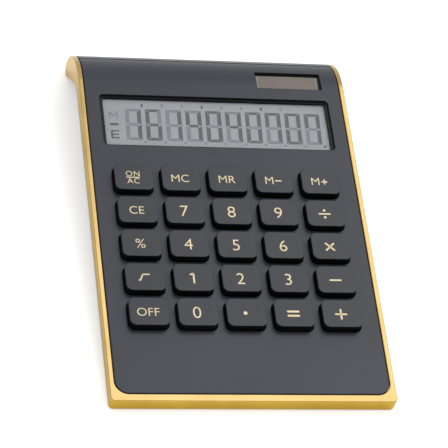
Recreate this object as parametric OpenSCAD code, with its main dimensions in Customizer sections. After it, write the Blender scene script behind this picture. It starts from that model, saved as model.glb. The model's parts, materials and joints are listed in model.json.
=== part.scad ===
// Slim desk calculator: a tray-shaped metal frame holds a dark front panel and a rear cover.
// The body is laid out flat in a panel frame: X to the right, Y up the panel from its front edge,
// Z out of the panel, with Z = 0 on the panel's face. stand() then tilts it onto its rear foot.

/* [Body] */
// Margin between the outermost keys and the panel's sides
side_margin = 7.28; // [6.9:0.02:20]
// Margin between the panel's front edge and the first row of keys
front_margin = 27.14; // [24:0.02:40]
// Radius of the curl that turns the panel down into the rear foot
curl_r = 24.5; // [22.5:0.5:30]
// Angle at which the body leans back on its foot
tilt = 6; // [5:0.1:7.5]
// Height of the frame's lowest edges above the table
frame_clear = 0.4; // [0.2:0.05:0.6]
// Slope of the foot's front face below the panel's plane
undercut_angle = 45; // [42:1:48]

/* [Frame] */
// Thickness of each side cheek
rail_w = 1.9; // [1.5:0.1:3]
// Width of the bar along the front
bar_w = 3; // [2:0.1:5]
// Outer radius of the front corners, seen from above
frame_corner_r = 1.75; // [0.8:0.05:2.5]
// Inner radius of the front corners, seen from above
inner_corner_r = 5.3; // [4:0.1:8]
// Gap between the frame and the panel that it holds
panel_gap = 0.3; // [0.1:0.05:0.5]
// Radius of the toe at the bottom of the foot
toe_r = 2; // [1.6:0.1:2.4]
// Thickness of the lip trapped between the panel and the rear cover
lip_t = 1; // [0.6:0.1:1.2]
// Reach of the lip in from the frame
lip_reach = 2; // [1.6:0.1:2.4]

/* [Shells] */
// Thickness of the front panel
panel_t = 1.2; // [1:0.05:1.5]
// Thickness of the rear cover under the flat part
cover_t = 1; // [0.8:0.05:1.2]
// Thickness of the rear cover around the foot
foot_t = 1.2; // [1:0.05:1.4]
// Thickness of the panel's skirt and the cover's rim
rim_t = 1.2; // [0.8:0.1:1.4]
// Distance that the cover sits inside the frame's lower edges
cover_inset = 0.3; // [0:0.05:0.5]
// Angle around the curl at which the panel meets the rear cover
seam_angle = 36.5; // [33:0.5:44]
// Gap at the seam between the panel and the rear cover
seam_gap = 0.15; // [0.05:0.05:0.3]

/* [Keys] */
// Width of a key top
key_w = 14.66; // [12:0.02:18]
// Length of a key top, up the panel
key_l = 11.9; // [9:0.1:15]
// Space between columns of keys
space_x = 3.385; // [2.6:0.005:5]
// Space between rows of keys
space_y = 3.135; // [2.6:0.005:5]
// Height of a key above the panel
key_h = 3.08; // [1.5:0.02:4]
// Corner radius of a key
key_corner_r = 2.4; // [1.2:0.1:4]
// Gap all round a key in its hole
key_gap = 0.22; // [0.15:0.01:0.35]
// How far the flange under a key reaches past its sides
flange_reach = 0.6; // [0.45:0.05:0.75]
// Thickness of a key's flange
flange_t = 0.5; // [0.4:0.05:0.8]
// Gap above the flange of a key at rest
flange_gap = 0.05; // [0.02:0.01:0.1]
// Distance that a key travels
key_travel = 0.8; // [0.5:0.05:1]
// Thickness of a key's top and side walls
key_wall = 1; // [0.8:0.1:1.4]

/* [Display and solar cell] */
// Space between the top row of keys and the display opening
display_space = 11.12; // [10.8:0.02:16]
// Space from the display opening to the panel's sides
display_margin = 5.45; // [5.2:0.05:12]
// Length of the display opening at the panel's face
display_l = 23.9; // [16:0.1:30]
// Corner radius of the display opening
display_corner_r = 1.6; // [0.8:0.1:2.5]
// Depth of the ledge in the display opening
ledge_depth = 1; // [0.5:0.1:1.2]
// Width of the ledge at the sides of the display opening
ledge_x = 1.15; // [0.8:0.05:2]
// Width of the ledge above and below the display
ledge_y = 0.8; // [0.5:0.05:1.5]
// Depth of the display window below the panel's face
display_depth = 1.95; // [1.6:0.05:2.4]
// Thickness of the clear display window
window_t = 0.3; // [0.2:0.05:0.4]
// Thickness of each glass of the display
glass_t = 0.7; // [0.5:0.05:0.85]
// Space between the display opening and the start of the curl
curl_space = 6.8; // [6:0.1:20]
// Width of the solar window
solar_w = 25.8; // [20:0.1:32]
// Length of the solar window
solar_l = 8.5; // [6:0.1:10.2]
// Distance from the start of the curl back to the solar window
solar_setback = 1.2; // [0.8:0.05:1.6]
// Distance that the solar window stops short of the display opening's side
solar_inset = 1.55; // [1:0.05:4]
// Depth of the solar cell below the panel's face
solar_depth = 2.4; // [2.2:0.05:2.9]
// Thickness of the solar cell
solar_t = 1.1; // [0.8:0.05:1.3]

/* [Inside] */
// Thickness of the rubber mat
mat_t = 0.35; // [0.3:0.05:0.5]
// Room left over a mat that a key presses down
dome_spare = 0.2; // [0.1:0.05:0.4]
// Thickness of the circuit board
board_t = 0.8; // [0.6:0.05:1.2]
// Height of the ribs that the board rests on
rib_h = 0.3; // [0.2:0.05:0.6]
// Diameter of the button cell
cell_d = 11.6; // [9.5:0.1:14]
// Thickness of the button cell
cell_t = 3.1; // [2:0.1:4.2]
// Room over the battery well for the wires
well_room = 2.4; // [2.2:0.1:4]
// Distance that the battery door slides
door_travel = 6; // [4:0.5:6]
// Diameter of the shank of a case screw
screw_d = 1.6; // [1.3:0.05:2]
// Diameter of the head of a case screw
screw_head_d = 3; // [2.5:0.1:3.4]
// Diameter of a front rubber foot
pad_d = 7; // [5:0.5:8.5]

/* [Hidden] */
$fn = 48;
eps = 0.01;
far = 400;

// Key grid, and the panel that is laid out around it.
key_cols = 5;
key_rows = 5;
pitch_x = key_w + space_x;
pitch_y = key_l + space_y;
grid_x = -(key_cols - 1) * pitch_x / 2;
grid_y = front_margin + key_l / 2;
function key_x(col) = grid_x + col * pitch_x;
function key_y(row) = grid_y + (key_rows - 1 - row) * pitch_y;
keys_half = key_w / 2 - grid_x;
keys_top = front_margin + (key_rows - 1) * pitch_y + key_l;
panel_half = keys_half + side_margin;
panel_corner_r = inner_corner_r - panel_gap;
inner_half = panel_half + panel_gap;
half_w = inner_half + rail_w;
display_y = keys_top + display_space;
display_w = 2 * (panel_half - display_margin);
flat_l = display_y + display_l + curl_space;
curl_c = [flat_l, -curl_r];

// Heights of the layers inside, measured from the panel's face.
flange_z = -panel_t - flange_gap;
dome_z = flange_z - flange_t;
dome_h = key_travel + dome_spare;
mat_z = dome_z - dome_h;
board_z = mat_z - mat_t;
board_under_z = board_z - board_t;
floor_z = board_under_z - rib_h;
cover_z = floor_z - cover_t;
frame_depth = cover_inset - cover_z;
lip_top_z = -panel_t - 1;
lip_under_z = lip_top_z - lip_t;
glass_z = -display_depth - window_t;
rear_glass_z = glass_z - glass_t;
glass_under_z = rear_glass_z - glass_t;

// Battery bay, laid out on the foot's front face: Y down the face, Z into the body.
bay_tray_t = 2.3;
door_t = 1.2;
door_half = cell_d / 2 + 7.2;
door_top = 6.5;
door_gap = 0.15;
tongue_t = 0.6;
tongue_reach = 0.8;
tongue_l = 6.8;
tongue_top = door_top + 1.1;
cell_s = door_top + 1.2 + cell_d / 2;
cell_z = door_t + 0.25;
well_r = cell_d / 2 + 0.2;
well_wall = 1;
well_floor_z = cell_z + cell_t + 0.45;
well_floor_t = 0.6;
contact_t = 0.2;
contact_w = 3;

// The foot is as deep as the battery bay needs, and its front face meets the underside at undercut_y.
foot_depth = cover_inset + well_floor_z + well_floor_t + well_room + foot_t;
undercut_y = flat_l
    + (curl_r - foot_depth - (curl_r - frame_depth) * cos(undercut_angle)) / sin(undercut_angle);

// Where the panel frame sits above the table.
lift = frame_clear + bar_w * sin(tilt) + frame_depth * cos(tilt);

// Panel-frame points [y, z] turned into table-frame points before centring, and back.
function on_table(p) = [p[0] * cos(tilt) - p[1] * sin(tilt), lift + p[0] * sin(tilt) + p[1] * cos(tilt)];
function on_panel(q) = [
    q[0] * cos(tilt) + (q[1] - lift) * sin(tilt),
    -q[0] * sin(tilt) + (q[1] - lift) * cos(tilt)
];
function level_z(y, h) = (h - lift) / cos(tilt) - y * tan(tilt);

// Centre of the toe fillet of a side outline that is drawn in by inset.
curl_t = on_table(curl_c);
function toe_rise(inset, r) = frame_clear + inset + r - curl_t[1];
function toe_t(inset, r, arc_r) = [
    curl_t[0] + sqrt(pow(arc_r - r, 2) - pow(toe_rise(inset, r), 2)),
    frame_clear + inset + r
];

// Corner of a side outline where the underside meets the foot's front face, and the heel below it.
slope = tan(undercut_angle);
function notch_y(inset) = undercut_y + inset * (1 / sin(undercut_angle) - 1 / tan(undercut_angle));
function heel_y(inset) =
    let (z0 = -frame_depth + inset, h = frame_clear + inset)
    (z0 + slope * notch_y(inset) - (h - lift) / cos(tilt)) / (slope - tan(tilt));

front_t = on_table([-bar_w, 0]);
toe_out = toe_t(0, toe_r, curl_r);
back_y = toe_rise(0, toe_r) > 0 ? toe_out[0] + toe_r : curl_t[0] + curl_r;
mid_y = (front_t[0] + back_y) / 2;

// The board and the mat keep clear of the lip and of the display.
board_half = inner_half - lip_reach - 0.4;
board_front = front_margin - 7;
board_back = display_y - 2.7;
mat_half = keys_half + 1.2;
mat_front = front_margin - 2.6;
mat_back = keys_top + 2.1;
rim_back = flat_l - 3;
lip_back = flat_l - 4;
view_w = display_w - 2 * ledge_x;
view_l = display_l - 2 * ledge_y;
glass_half = view_w / 2 + 1.5;
glass_front = display_y + 0.3;
glass_back = display_y + display_l;
glass_ledge = 2;
ribbon_half = display_w / 3;
solar_x = display_w / 2 - solar_inset - solar_w / 2;
solar_y = flat_l - solar_setback;

// Screws, posts, heat-staked pins and feet.
post_r = screw_d / 2 + 1.1;
post_x = board_half - 1.7;
screw_rows = [front_margin - 17, (front_margin + keys_top) / 2 - 6, keys_top + 2.8];
pilot_gap = 0.02;
shank_hole_r = screw_d / 2 + 0.15;
head_hole_r = screw_head_d / 2 + 0.2;
head_t = 0.7;
head_depth = cover_t;
screw_top_z = -panel_t - 0.3;
stake_r = 0.75;
stake_cells = [[0.5, 0.5], [3.5, 0.5], [0.5, 3.5], [3.5, 3.5]];
cheek_pin_r = 1.2;
cheek_pin = curl_c + (curl_r - 5) * [sin(40), cos(40)];
pad_y = 6.5;
pad_x = panel_half - 10.7;
strip_l = 2.8;
strip_half = 7;
strip_x = panel_half - 10.7;
cell_x = door_half + 6 + strip_half - strip_x;

// Wires run in the channels beside the display, between the glass and the lip.
wire_r = 0.35;
wire_step = 1.05;
wire_x = board_half - 1.2;
wire_z = floor_z + 0.5 + wire_r;
wire_end_z = board_z + wire_r + 0.05;
pad_row_y = board_back - 0.9;

KEYS = [
    ["key_on_ac", "key_mc", "key_mr", "key_m_minus", "key_m_plus"],
    ["key_ce", "key_7", "key_8", "key_9", "key_divide"],
    ["key_percent", "key_4", "key_5", "key_6", "key_multiply"],
    ["key_root", "key_1", "key_2", "key_3", "key_subtract"],
    ["key_off", "key_0", "key_point", "key_equals", "key_add"]
];

// ---- Placing ----

// Tilts a piece laid out in the panel frame and stands it centred on the table.
module stand() {
    translate([0, -mid_y, lift])
        rotate([tilt, 0, 0])
            children();
}

// Lays a piece out on the foot's front face: X stays, Y runs down the face, Z goes into the body.
module on_foot_face() {
    translate([0, notch_y(cover_inset), cover_z])
        rotate([-undercut_angle, 0, 0])
            children();
}

// ---- Outlines ----

// Rectangle with round corners, centred.
module round_rect(w, l, r) {
    square([w - 2 * r, l], center = true);
    square([w, l - 2 * r], center = true);
    for (x = [-1, 1])
        for (y = [-1, 1])
            translate([x * (w / 2 - r), y * (l / 2 - r)])
                circle(r);
}

// The plan of the body seen from above: round front corners, open-ended at the back.
module plan(half, front, r) {
    translate([-half, front + r])
        square([2 * half, far]);
    translate([-half + r, front])
        square([2 * (half - r), far]);
    for (x = [-1, 1])
        translate([x * (half - r), front + r])
            circle(r);
}

// The plan of what fits inside the frame, drawn in by inset.
module inner_plan(inset) {
    plan(panel_half - inset, panel_gap + inset, panel_corner_r - inset);
}

// Side outline [y, z], drawn in by inset along the underside and foot, and by arc_inset at the curl.
// The toe's circle stands out by eps, so that it cuts the rest of the outline cleanly.
module side_outline(inset, arc_inset, r) {
    arc_r = curl_r - arc_inset;
    toe = on_panel(toe_t(inset, r, arc_r));
    out = (toe - curl_c) / norm(toe - curl_c);
    down = [-sin(tilt), -cos(tilt)];
    base = -frame_depth + inset;
    heel = heel_y(inset);
    back = flat_l + curl_r + 5;
    translate([-far, base])
        square([far + flat_l, -base - arc_inset]);
    difference() {
        intersection() {
            translate(curl_c)
                circle(arc_r, $fn = 96);
            polygon([
                [flat_l - eps, 1],
                [flat_l - eps, base],
                [notch_y(inset), base],
                [heel, level_z(heel, frame_clear + inset)],
                [back, level_z(back, frame_clear + inset)],
                [back, 1]
            ]);
        }
        polygon([toe, toe + 4 * r * out, toe + 6 * r * (out + down), toe + 4 * r * down]);
    }
    translate(toe)
        circle(r + eps);
}

// Sweeps a side outline across the body.
module across(half) {
    rotate([90, 0, 90])
        translate([0, 0, -half])
            linear_extrude(2 * half)
                children();
}

// Sector between two radii around the curl's axis, from one angle to another.
module curl_band(r_in, r_out, from, to, half) {
    reach = 2 * curl_r;
    across(half)
        intersection() {
            translate(curl_c)
                difference() {
                    circle(r_out, $fn = 96);
                    circle(r_in, $fn = 96);
                }
            translate(curl_c)
                polygon([
                    [0, 0],
                    reach * [sin(from), cos(from)],
                    reach * [sin((from + to) / 2), cos((from + to) / 2)],
                    reach * [sin(to), cos(to)]
                ]);
        }
}

// ---- Frame and shells ----

// Repeats a feature at the six case screws.
module at_screws() {
    for (x = [-1, 1])
        for (y = screw_rows)
            translate([x * post_x, y, 0])
                children();
}

// Repeats a feature at every key.
module at_keys() {
    for (row = [0 : key_rows - 1])
        for (col = [0 : key_cols - 1])
            translate([key_x(col), key_y(row), 0])
                children();
}

// Repeats a feature at the heat-staked pins between keys.
module at_stakes() {
    for (c = stake_cells)
        translate([key_x(c[0]), key_y(c[1]), 0])
            children();
}

// U-shaped frame: two cheeks that end in the foot, and a bar across the front.
module gold_frame() {
    color("goldenrod") stand() {
        difference() {
            across(half_w)
                side_outline(0, 0, toe_r);
            translate([0, 0, -far / 2])
                linear_extrude(far)
                    inner_plan(-panel_gap);
            front_corner_cut();
        }
        frame_lip();
        at_cheek_pins()
            cylinder(h = panel_gap + rim_t, r = cheek_pin_r);
    }
}

// Repeats a feature on the inner face of each cheek, pointing inwards.
module at_cheek_pins() {
    for (side = [-1, 1])
        translate([side * inner_half, cheek_pin[0], cheek_pin[1]])
            rotate([0, -90 * side, 0])
                children();
}

// What is cut away outside the frame's rounded front corners.
module front_corner_cut() {
    translate([0, 0, -far / 2])
        linear_extrude(far)
            difference() {
                translate([-far, -far])
                    square([2 * far, far + frame_corner_r]);
                plan(half_w, -bar_w, frame_corner_r);
            }
}

// Lip inside the frame, trapped between the panel's skirt and the cover's rim.
module frame_lip() {
    translate([0, 0, lip_under_z])
        linear_extrude(lip_t)
            difference() {
                inner_plan(-panel_gap - eps);
                inner_plan(lip_reach - panel_gap);
                translate([-far, lip_back])
                    square(2 * far);
            }
}

// Dark panel with the key holes, the display opening and the solar window.
module front_panel() {
    color("dimgray") stand() {
        difference() {
            union() {
                panel_skin();
                panel_skirt();
                display_rim();
                solar_rim();
                at_screws()
                    translate([0, 0, lip_under_z])
                        cylinder(h = -panel_t - lip_under_z, r = post_r);
                seam_tongue();
            }
            key_holes();
            display_opening();
            solar_opening();
            at_screws()
                translate([0, 0, lip_under_z - 1])
                    cylinder(h = screw_top_z - lip_under_z + 1.1, r = screw_d / 2 + pilot_gap);
        }
        at_stakes()
            translate([0, 0, board_under_z - 0.15])
                cylinder(h = -board_under_z + 0.15 - panel_t, r = stake_r);
    }
}

module panel_skin() {
    translate([0, 0, -panel_t])
        linear_extrude(panel_t)
            difference() {
                inner_plan(0);
                translate([-far, flat_l])
                    square(2 * far);
            }
    curl_band(curl_r - panel_t, curl_r, 0, seam_angle, panel_half);
}

module panel_skirt() {
    translate([0, 0, lip_top_z])
        linear_extrude(-lip_top_z - panel_t)
            difference() {
                inner_plan(0);
                inner_plan(rim_t);
                translate([-far, rim_back])
                    square(2 * far);
            }
}

// Tongue under the seam, which slips inside the rear cover.
module seam_tongue() {
    tongue_half = panel_half - rim_t - 0.5;
    curl_band(curl_r - panel_t - 1, curl_r - panel_t, seam_angle - 4, seam_angle - 0.2, tongue_half);
    curl_band(curl_r - panel_t - 1, curl_r - foot_t - 0.1, seam_angle - 1, seam_angle + 4, tongue_half);
}

module key_holes() {
    at_keys()
        translate([0, 0, -panel_t - 1])
            linear_extrude(panel_t + 2)
                round_rect(key_w + 2 * key_gap, key_l + 2 * key_gap, key_corner_r + key_gap);
}

// Thicker panel around the display.
module display_rim() {
    translate([0, display_y + display_l / 2, -display_depth])
        linear_extrude(display_depth - panel_t / 2)
            square([display_w + 2.4, display_l + 2.6], center = true);
}

module display_opening() {
    translate([0, display_y + display_l / 2, 0]) {
        translate([0, 0, -ledge_depth])
            linear_extrude(5)
                round_rect(display_w, display_l, display_corner_r);
        translate([0, 0, -display_depth - 1])
            linear_extrude(5)
                round_rect(view_w, view_l, display_corner_r / 2);
    }
}

// Walls of the solar window, down to the cell.
module solar_rim() {
    translate([solar_x, solar_y + solar_l / 2, -solar_depth])
        linear_extrude(solar_depth - panel_t / 2)
            square([solar_w + 4, solar_l + 2.4], center = true);
}

// The window itself, and the seat that the cell lies in.
module solar_opening() {
    translate([solar_x, solar_y + solar_l / 2, -solar_depth - 1])
        linear_extrude(10)
            square([solar_w, solar_l], center = true);
    translate([solar_x, solar_y + solar_l / 2, -solar_depth - 5])
        linear_extrude(5)
            square([solar_w + 2.4, solar_l + 2], center = true);
    translate([solar_x, solar_y + solar_l + 1.2, -solar_depth - 5])
        linear_extrude(5)
            square([solar_w + 4.2, 0.6], center = true);
}

// Underside, foot and the lower half of the curl.
module rear_cover() {
    color("darkslategray") stand()
        difference() {
            union() {
                cover_shell();
                cover_posts();
                cover_ribs();
                battery_tray();
                rear_foot_blocks();
            }
            at_screws() {
                translate([0, 0, cover_z - 1])
                    cylinder(h = frame_depth, r = shank_hole_r);
                translate([0, 0, cover_z - 1])
                    cylinder(h = 1 + head_depth, r = head_hole_r);
            }
            battery_pocket();
            rear_foot_pockets();
            at_cheek_pins()
                cylinder(h = panel_gap + rim_t + 0.1, r = cheek_pin_r + 0.05);
        }
}

module cover_shell() {
    difference() {
        intersection() {
            across(panel_half)
                side_outline(cover_inset, 0, toe_r);
            translate([0, 0, -far / 2])
                linear_extrude(far)
                    inner_plan(0);
        }
        difference() {
            across(panel_half - rim_t)
                side_outline(cover_inset + foot_t, foot_t, toe_r - foot_t / 2);
            translate([-far, -far, -far])
                cube([2 * far, far + panel_gap + rim_t, 2 * far]);
            translate([-far, 0, cover_z - far])
                cube([2 * far, undercut_y - 1, far + cover_t]);
        }
        translate([0, 0, floor_z])
            linear_extrude(lip_under_z - floor_z + eps)
                difference() {
                    inner_plan(rim_t);
                    translate([-far, undercut_y - 1])
                        square(2 * far);
                }
        cover_opening();
    }
}

// Everything above the cover's rim: the lip, the panel's skirt, its skin and the seam.
module cover_opening() {
    translate([-far, -far, lip_under_z])
        cube([2 * far, far + rim_back + 0.5, far]);
    translate([-far, rim_back, -panel_t - 0.1])
        cube([2 * far, flat_l - rim_back + eps, far]);
    seam = seam_angle + seam_gap / curl_r * 180 / PI;
    curl_band(curl_r - panel_t - 0.1, curl_r + 2, -1, seam, far);
}

module cover_posts() {
    at_screws()
        translate([0, 0, cover_z])
            cylinder(h = lip_under_z - cover_z, r = post_r);
}

// Low ribs that hold up the board and the display.
module cover_ribs() {
    for (y = [0.2, 0.5, 0.8])
        translate([-mat_half, board_front + y * (board_back - board_front), floor_z - eps])
            cube([2 * mat_half, 1, board_under_z - floor_z + eps]);
    for (y = [0.2, 0.8])
        translate([-mat_half, glass_front + y * (glass_back - glass_front), floor_z - eps])
            cube([2 * mat_half, 1, glass_under_z - floor_z + eps]);
}

// Block that the door slides in, and the well that holds the cell.
module battery_tray() {
    intersection() {
        on_foot_face()
            translate([cell_x - door_half - 3, door_top - 2.5, 0])
                cube([2 * door_half + 6, far, bay_tray_t]);
        across(panel_half)
            side_outline(cover_inset, 1, toe_r);
    }
    on_foot_face()
        translate([cell_x, cell_s, door_t])
            cylinder(h = well_floor_z + well_floor_t - door_t, r = well_r + well_wall);
}

module battery_pocket() {
    pocket_half = door_half + door_gap;
    groove_half = door_half + tongue_reach + door_gap;
    on_foot_face() {
        translate([cell_x - pocket_half, door_top - door_gap, -5])
            cube([2 * pocket_half, far, 5 + door_t + 0.1]);
        translate([cell_x - groove_half, tongue_top - door_gap, door_t - tongue_t - 0.1])
            cube([2 * groove_half, tongue_l + door_travel + 2 * door_gap, tongue_t + 0.2]);
        translate([cell_x - groove_half, tongue_top + door_travel - door_gap, -5])
            cube([2 * groove_half, tongue_l + 2 * door_gap, 5 + door_t]);
        translate([cell_x, cell_s, 0])
            cylinder(h = well_floor_z, r = well_r);
        translate([cell_x - well_r - well_wall - 1, cell_s - contact_w / 2 - 0.1, cell_z + 0.4])
            cube([well_wall + 2, contact_w + 0.2, well_floor_z - cell_z - 0.4]);
        translate([cell_x + 2.5, cell_s - contact_w / 2 - 0.1, well_floor_z - eps])
            cube([1.4, contact_w + 0.2, well_floor_t + 1]);
    }
}

// Blocks over the foot that give the rear rubber strips their depth.
module rear_foot_blocks() {
    intersection() {
        for (x = [-1, 1])
            rear_strip(x, strip_half + 1, strip_l + 2, 3.2);
        across(panel_half)
            side_outline(cover_inset, 0, toe_r);
    }
}

module rear_foot_pockets() {
    for (x = [-1, 1])
        rear_strip(x, strip_half + 0.1, strip_l + 0.2, 1.7);
}

// Upright block over the land of the foot, in the table frame and h high.
module rear_strip(side, half, l, h) {
    land = on_table([heel_y(cover_inset), level_z(heel_y(cover_inset), frame_clear + cover_inset)]);
    rotate([-tilt, 0, 0])
        translate([side * strip_x - half, land[0] + 0.3 - (l - strip_l) / 2, -lift])
            cube([2 * half, l, h]);
}

// Door on the foot's front face, with a tongue on each side and grip grooves.
module battery_door() {
    color("darkslategray") stand()
        difference() {
            intersection() {
                on_foot_face() {
                    translate([cell_x - door_half, door_top, 0])
                        cube([2 * door_half, far, door_t]);
                    translate([cell_x - door_half - tongue_reach, tongue_top, door_t - tongue_t])
                        cube([2 * (door_half + tongue_reach), tongue_l, tongue_t]);
                }
                across(panel_half)
                    side_outline(cover_inset, 1, toe_r);
            }
            on_foot_face()
                for (i = [0 : 3])
                    translate([cell_x - 5, door_top + 2.5 + 1.6 * i, -1])
                        cube([10, 0.8, 1.3]);
        }
}

// ---- Display and solar cell ----

module display_sheet(front, back, z, t) {
    translate([-glass_half, front, z - t])
        cube([2 * glass_half, back - front, t]);
}

module display_window() {
    color("lightcyan") stand()
        display_sheet(glass_front, glass_back, -display_depth, window_t);
}

module display_front_glass() {
    color("darkseagreen") stand()
        display_sheet(glass_front, glass_back, glass_z, glass_t);
}

// The rear glass stands out past the front one, where the ribbon is bonded to it.
module display_rear_glass() {
    color("slategray") stand()
        display_sheet(glass_front - glass_ledge, glass_back, rear_glass_z, glass_t);
}

// Flat ribbon from the rear glass's ledge down to the board.
module display_ribbon() {
    t = 0.12;
    start = glass_front - 0.2;
    bend = glass_front - glass_ledge - 0.1;
    color("peru") stand()
        across(ribbon_half)
            polygon([
                [start, rear_glass_z],
                [start, rear_glass_z + t],
                [bend, rear_glass_z + t],
                [pad_row_y, board_z + t],
                [pad_row_y - 2, board_z + t],
                [pad_row_y - 2, board_z],
                [pad_row_y, board_z],
                [bend, rear_glass_z]
            ]);
}

module solar_cell() {
    color("rosybrown") stand()
        translate([solar_x, solar_y + solar_l / 2, -solar_depth - solar_t])
            linear_extrude(solar_t)
                square([solar_w + 2, solar_l + 1.6], center = true);
}

// Foam between the cell and the cover's floor.
module solar_cell_pad() {
    color("dimgray") stand()
        translate([solar_x - solar_w / 2 + 3, solar_y - 0.6, floor_z])
            cube([solar_w - 6, undercut_y - solar_y - 0.6, -solar_depth - solar_t - floor_z]);
}

// ---- Circuit ----

module circuit_board() {
    color("darkgreen") stand()
        difference() {
            translate([-board_half, board_front, board_under_z])
                cube([2 * board_half, board_back - board_front, board_t]);
            at_screws()
                translate([0, 0, board_under_z - 1])
                    cylinder(h = board_t + 2, r = post_r + 0.25);
            at_stakes()
                translate([0, 0, board_under_z - 1])
                    cylinder(h = board_t + 2, r = stake_r + 0.12);
        }
}

// Drop of resin over the chip: a low spherical cap.
module chip_blob() {
    cap_r = 2.6;
    cap_h = 1.1;
    ball_r = (cap_r * cap_r + cap_h * cap_h) / (2 * cap_h);
    color("black") stand()
        intersection() {
            translate([-ribbon_half - 7.8, mat_back + 2.9, board_z + cap_h - ball_r])
                sphere(ball_r);
            translate([-ribbon_half - 7.8, mat_back + 2.9, board_z])
                cylinder(h = cap_h + 1, r = cap_r + 1);
        }
}

// Surface-mounted capacitor: a body between two end caps.
module chip_capacitor() {
    color("tan") stand()
        translate([ribbon_half + 2.8, mat_back + 2.4, board_z])
            for (part = [[0, 0.5, 1.3], [0.5, 2.2, 1.2], [2.7, 0.5, 1.3]])
                translate([part[0], -part[2] / 2, 0])
                    cube([part[1], part[2], 1.2]);
}

module glass_diode() {
    color("indianred") stand()
        translate([ribbon_half + 7.8, mat_back + 2.4, board_z + 0.75])
            rotate([0, 90, 0]) {
                cylinder(h = 3.4, r = 0.7);
                for (x = [0, 2.9])
                    translate([0, 0, x])
                        cylinder(h = 0.5, r = 0.75);
            }
}

// Rubber sheet with a hollow dome under each key.
module key_mat() {
    color("gainsboro") stand()
        difference() {
            union() {
                translate([-mat_half, mat_front, board_z])
                    cube([2 * mat_half, mat_back - mat_front, mat_t]);
                at_keys()
                    translate([0, 0, mat_z])
                        cylinder(h = dome_h, r1 = 3.6, r2 = 2.4);
            }
            at_keys()
                translate([0, 0, board_z - eps])
                    cylinder(h = mat_t + dome_h / 2 + eps, r1 = 3.1, r2 = 1.9);
            at_stakes()
                translate([0, 0, board_z - 1])
                    cylinder(h = mat_t + 2, r = stake_r + 0.25);
        }
}

// Conductive pill hanging inside each dome.
module contact_pills() {
    color("black") stand()
        at_keys()
            translate([0, 0, mat_z + dome_h / 2 - 0.25])
                cylinder(h = 0.25, r = 1.5);
}

// ---- Battery ----

// Can with a slightly smaller cap at its open end.
module button_cell() {
    color("silver") stand()
        on_foot_face()
            translate([cell_x, cell_s, cell_z]) {
                cylinder(h = cell_t - 0.4, r = cell_d / 2);
                cylinder(h = cell_t, r = cell_d / 2 - 1.1);
            }
}

// Leaf against the can's side, with a tab that the wire is soldered to.
module cell_contact_plus() {
    x = cell_x - cell_d / 2 - 0.02 - contact_t;
    color("gold") stand()
        on_foot_face()
            translate([0, cell_s - contact_w / 2, 0]) {
                translate([x, 0, cell_z + 0.6])
                    cube([contact_t, contact_w, well_floor_z - cell_z - 0.6]);
                translate([x - 2.6, 0, well_floor_z - contact_t])
                    cube([2.6 + eps, contact_w, contact_t]);
            }
}

// Sprung leaf under the cell's cap, with a tail through the floor of the well.
module cell_contact_minus() {
    top = well_floor_z;
    tip = cell_z + cell_t;
    tail = well_floor_z + well_floor_t + 0.5;
    color("gold") stand()
        on_foot_face()
            translate([cell_x, cell_s + contact_w / 2, 0])
                rotate([90, 0, 0])
                    linear_extrude(contact_w)
                        polygon([
                            [-3.6, tip],
                            [-3.2, tip],
                            [2, top - contact_t],
                            [3.2, top - contact_t],
                            [3.2, tail],
                            [3.2 - contact_t, tail],
                            [3.2 - contact_t, top],
                            [1.95, top],
                            [-3.2, tip + contact_t],
                            [-3.6, tip + contact_t]
                        ]);
}

// ---- Wires ----

// Cuts the corners of a route, so that it bends smoothly; each pass doubles its points.
function smooth(p, passes) = passes == 0 ? p : smooth(
    concat(
        [p[0]],
        [for (i = [0 : len(p) - 2]) each [0.75 * p[i] + 0.25 * p[i + 1], 0.25 * p[i] + 0.75 * p[i + 1]]],
        [p[len(p) - 1]]
    ),
    passes - 1
);
function unit(v) = v / norm(v);
function heading(p, i) = unit(p[min(i + 1, len(p) - 1)] - p[max(i - 1, 0)]);

// Insulated wire along a route: a ring of points square to the route at each of its points.
module wire(route) {
    sides = 8;
    p = smooth(route, 2);
    rings = [
        for (i = [0 : len(p) - 1])
            let (along = heading(p, i), side = unit(cross(along, [0, 0, 1])), up = cross(side, along))
            for (k = [0 : sides - 1])
                p[i] + wire_r * (cos(k * 360 / sides) * side + sin(k * 360 / sides) * up)
    ];
    walls = [
        for (i = [0 : len(p) - 2])
            for (k = [0 : sides - 1])
                let (a = i * sides + k, b = i * sides + (k + 1) % sides)
                each [[a, a + sides, b], [b, a + sides, b + sides]]
    ];
    last = (len(p) - 1) * sides;
    ends = [[for (k = [0 : sides - 1]) k], [for (k = [sides - 1 : -1 : 0]) last + k]];
    polyhedron(rings, concat(walls, ends));
}

// Route from a solder tab into the channel beside the display, and along it to the board.
function channel_route(start, x) = concat(
    start,
    [
        [x, flat_l - 1.5, wire_z],
        [x, board_back + 3.2, wire_z],
        [x, board_back + 1.4, wire_end_z],
        [x, board_back - 0.8, wire_end_z]
    ]
);

// A point on the foot's front face, in the panel frame.
function from_face(x, s, z) = [
    x,
    notch_y(cover_inset) + s * cos(undercut_angle) + z * sin(undercut_angle),
    cover_z - s * sin(undercut_angle) + z * cos(undercut_angle)
];

// Route from under the solar cell's edge, y up the panel, round into the channel at x.
function solar_route(y, x) =
    let (edge = solar_x + solar_w / 2 + 1, under = -solar_depth - solar_t - wire_r - 0.02)
    channel_route([[edge - 1, y, under], [edge + 1, y, under + 0.05], [x, y - 2.2, wire_z]], x);

module solar_wire_plus() {
    color("red") stand()
        wire(solar_route(undercut_y + 2, wire_x));
}

module solar_wire_minus() {
    color("black") stand()
        wire(solar_route(undercut_y + 3.6, wire_x + wire_step));
}

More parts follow.
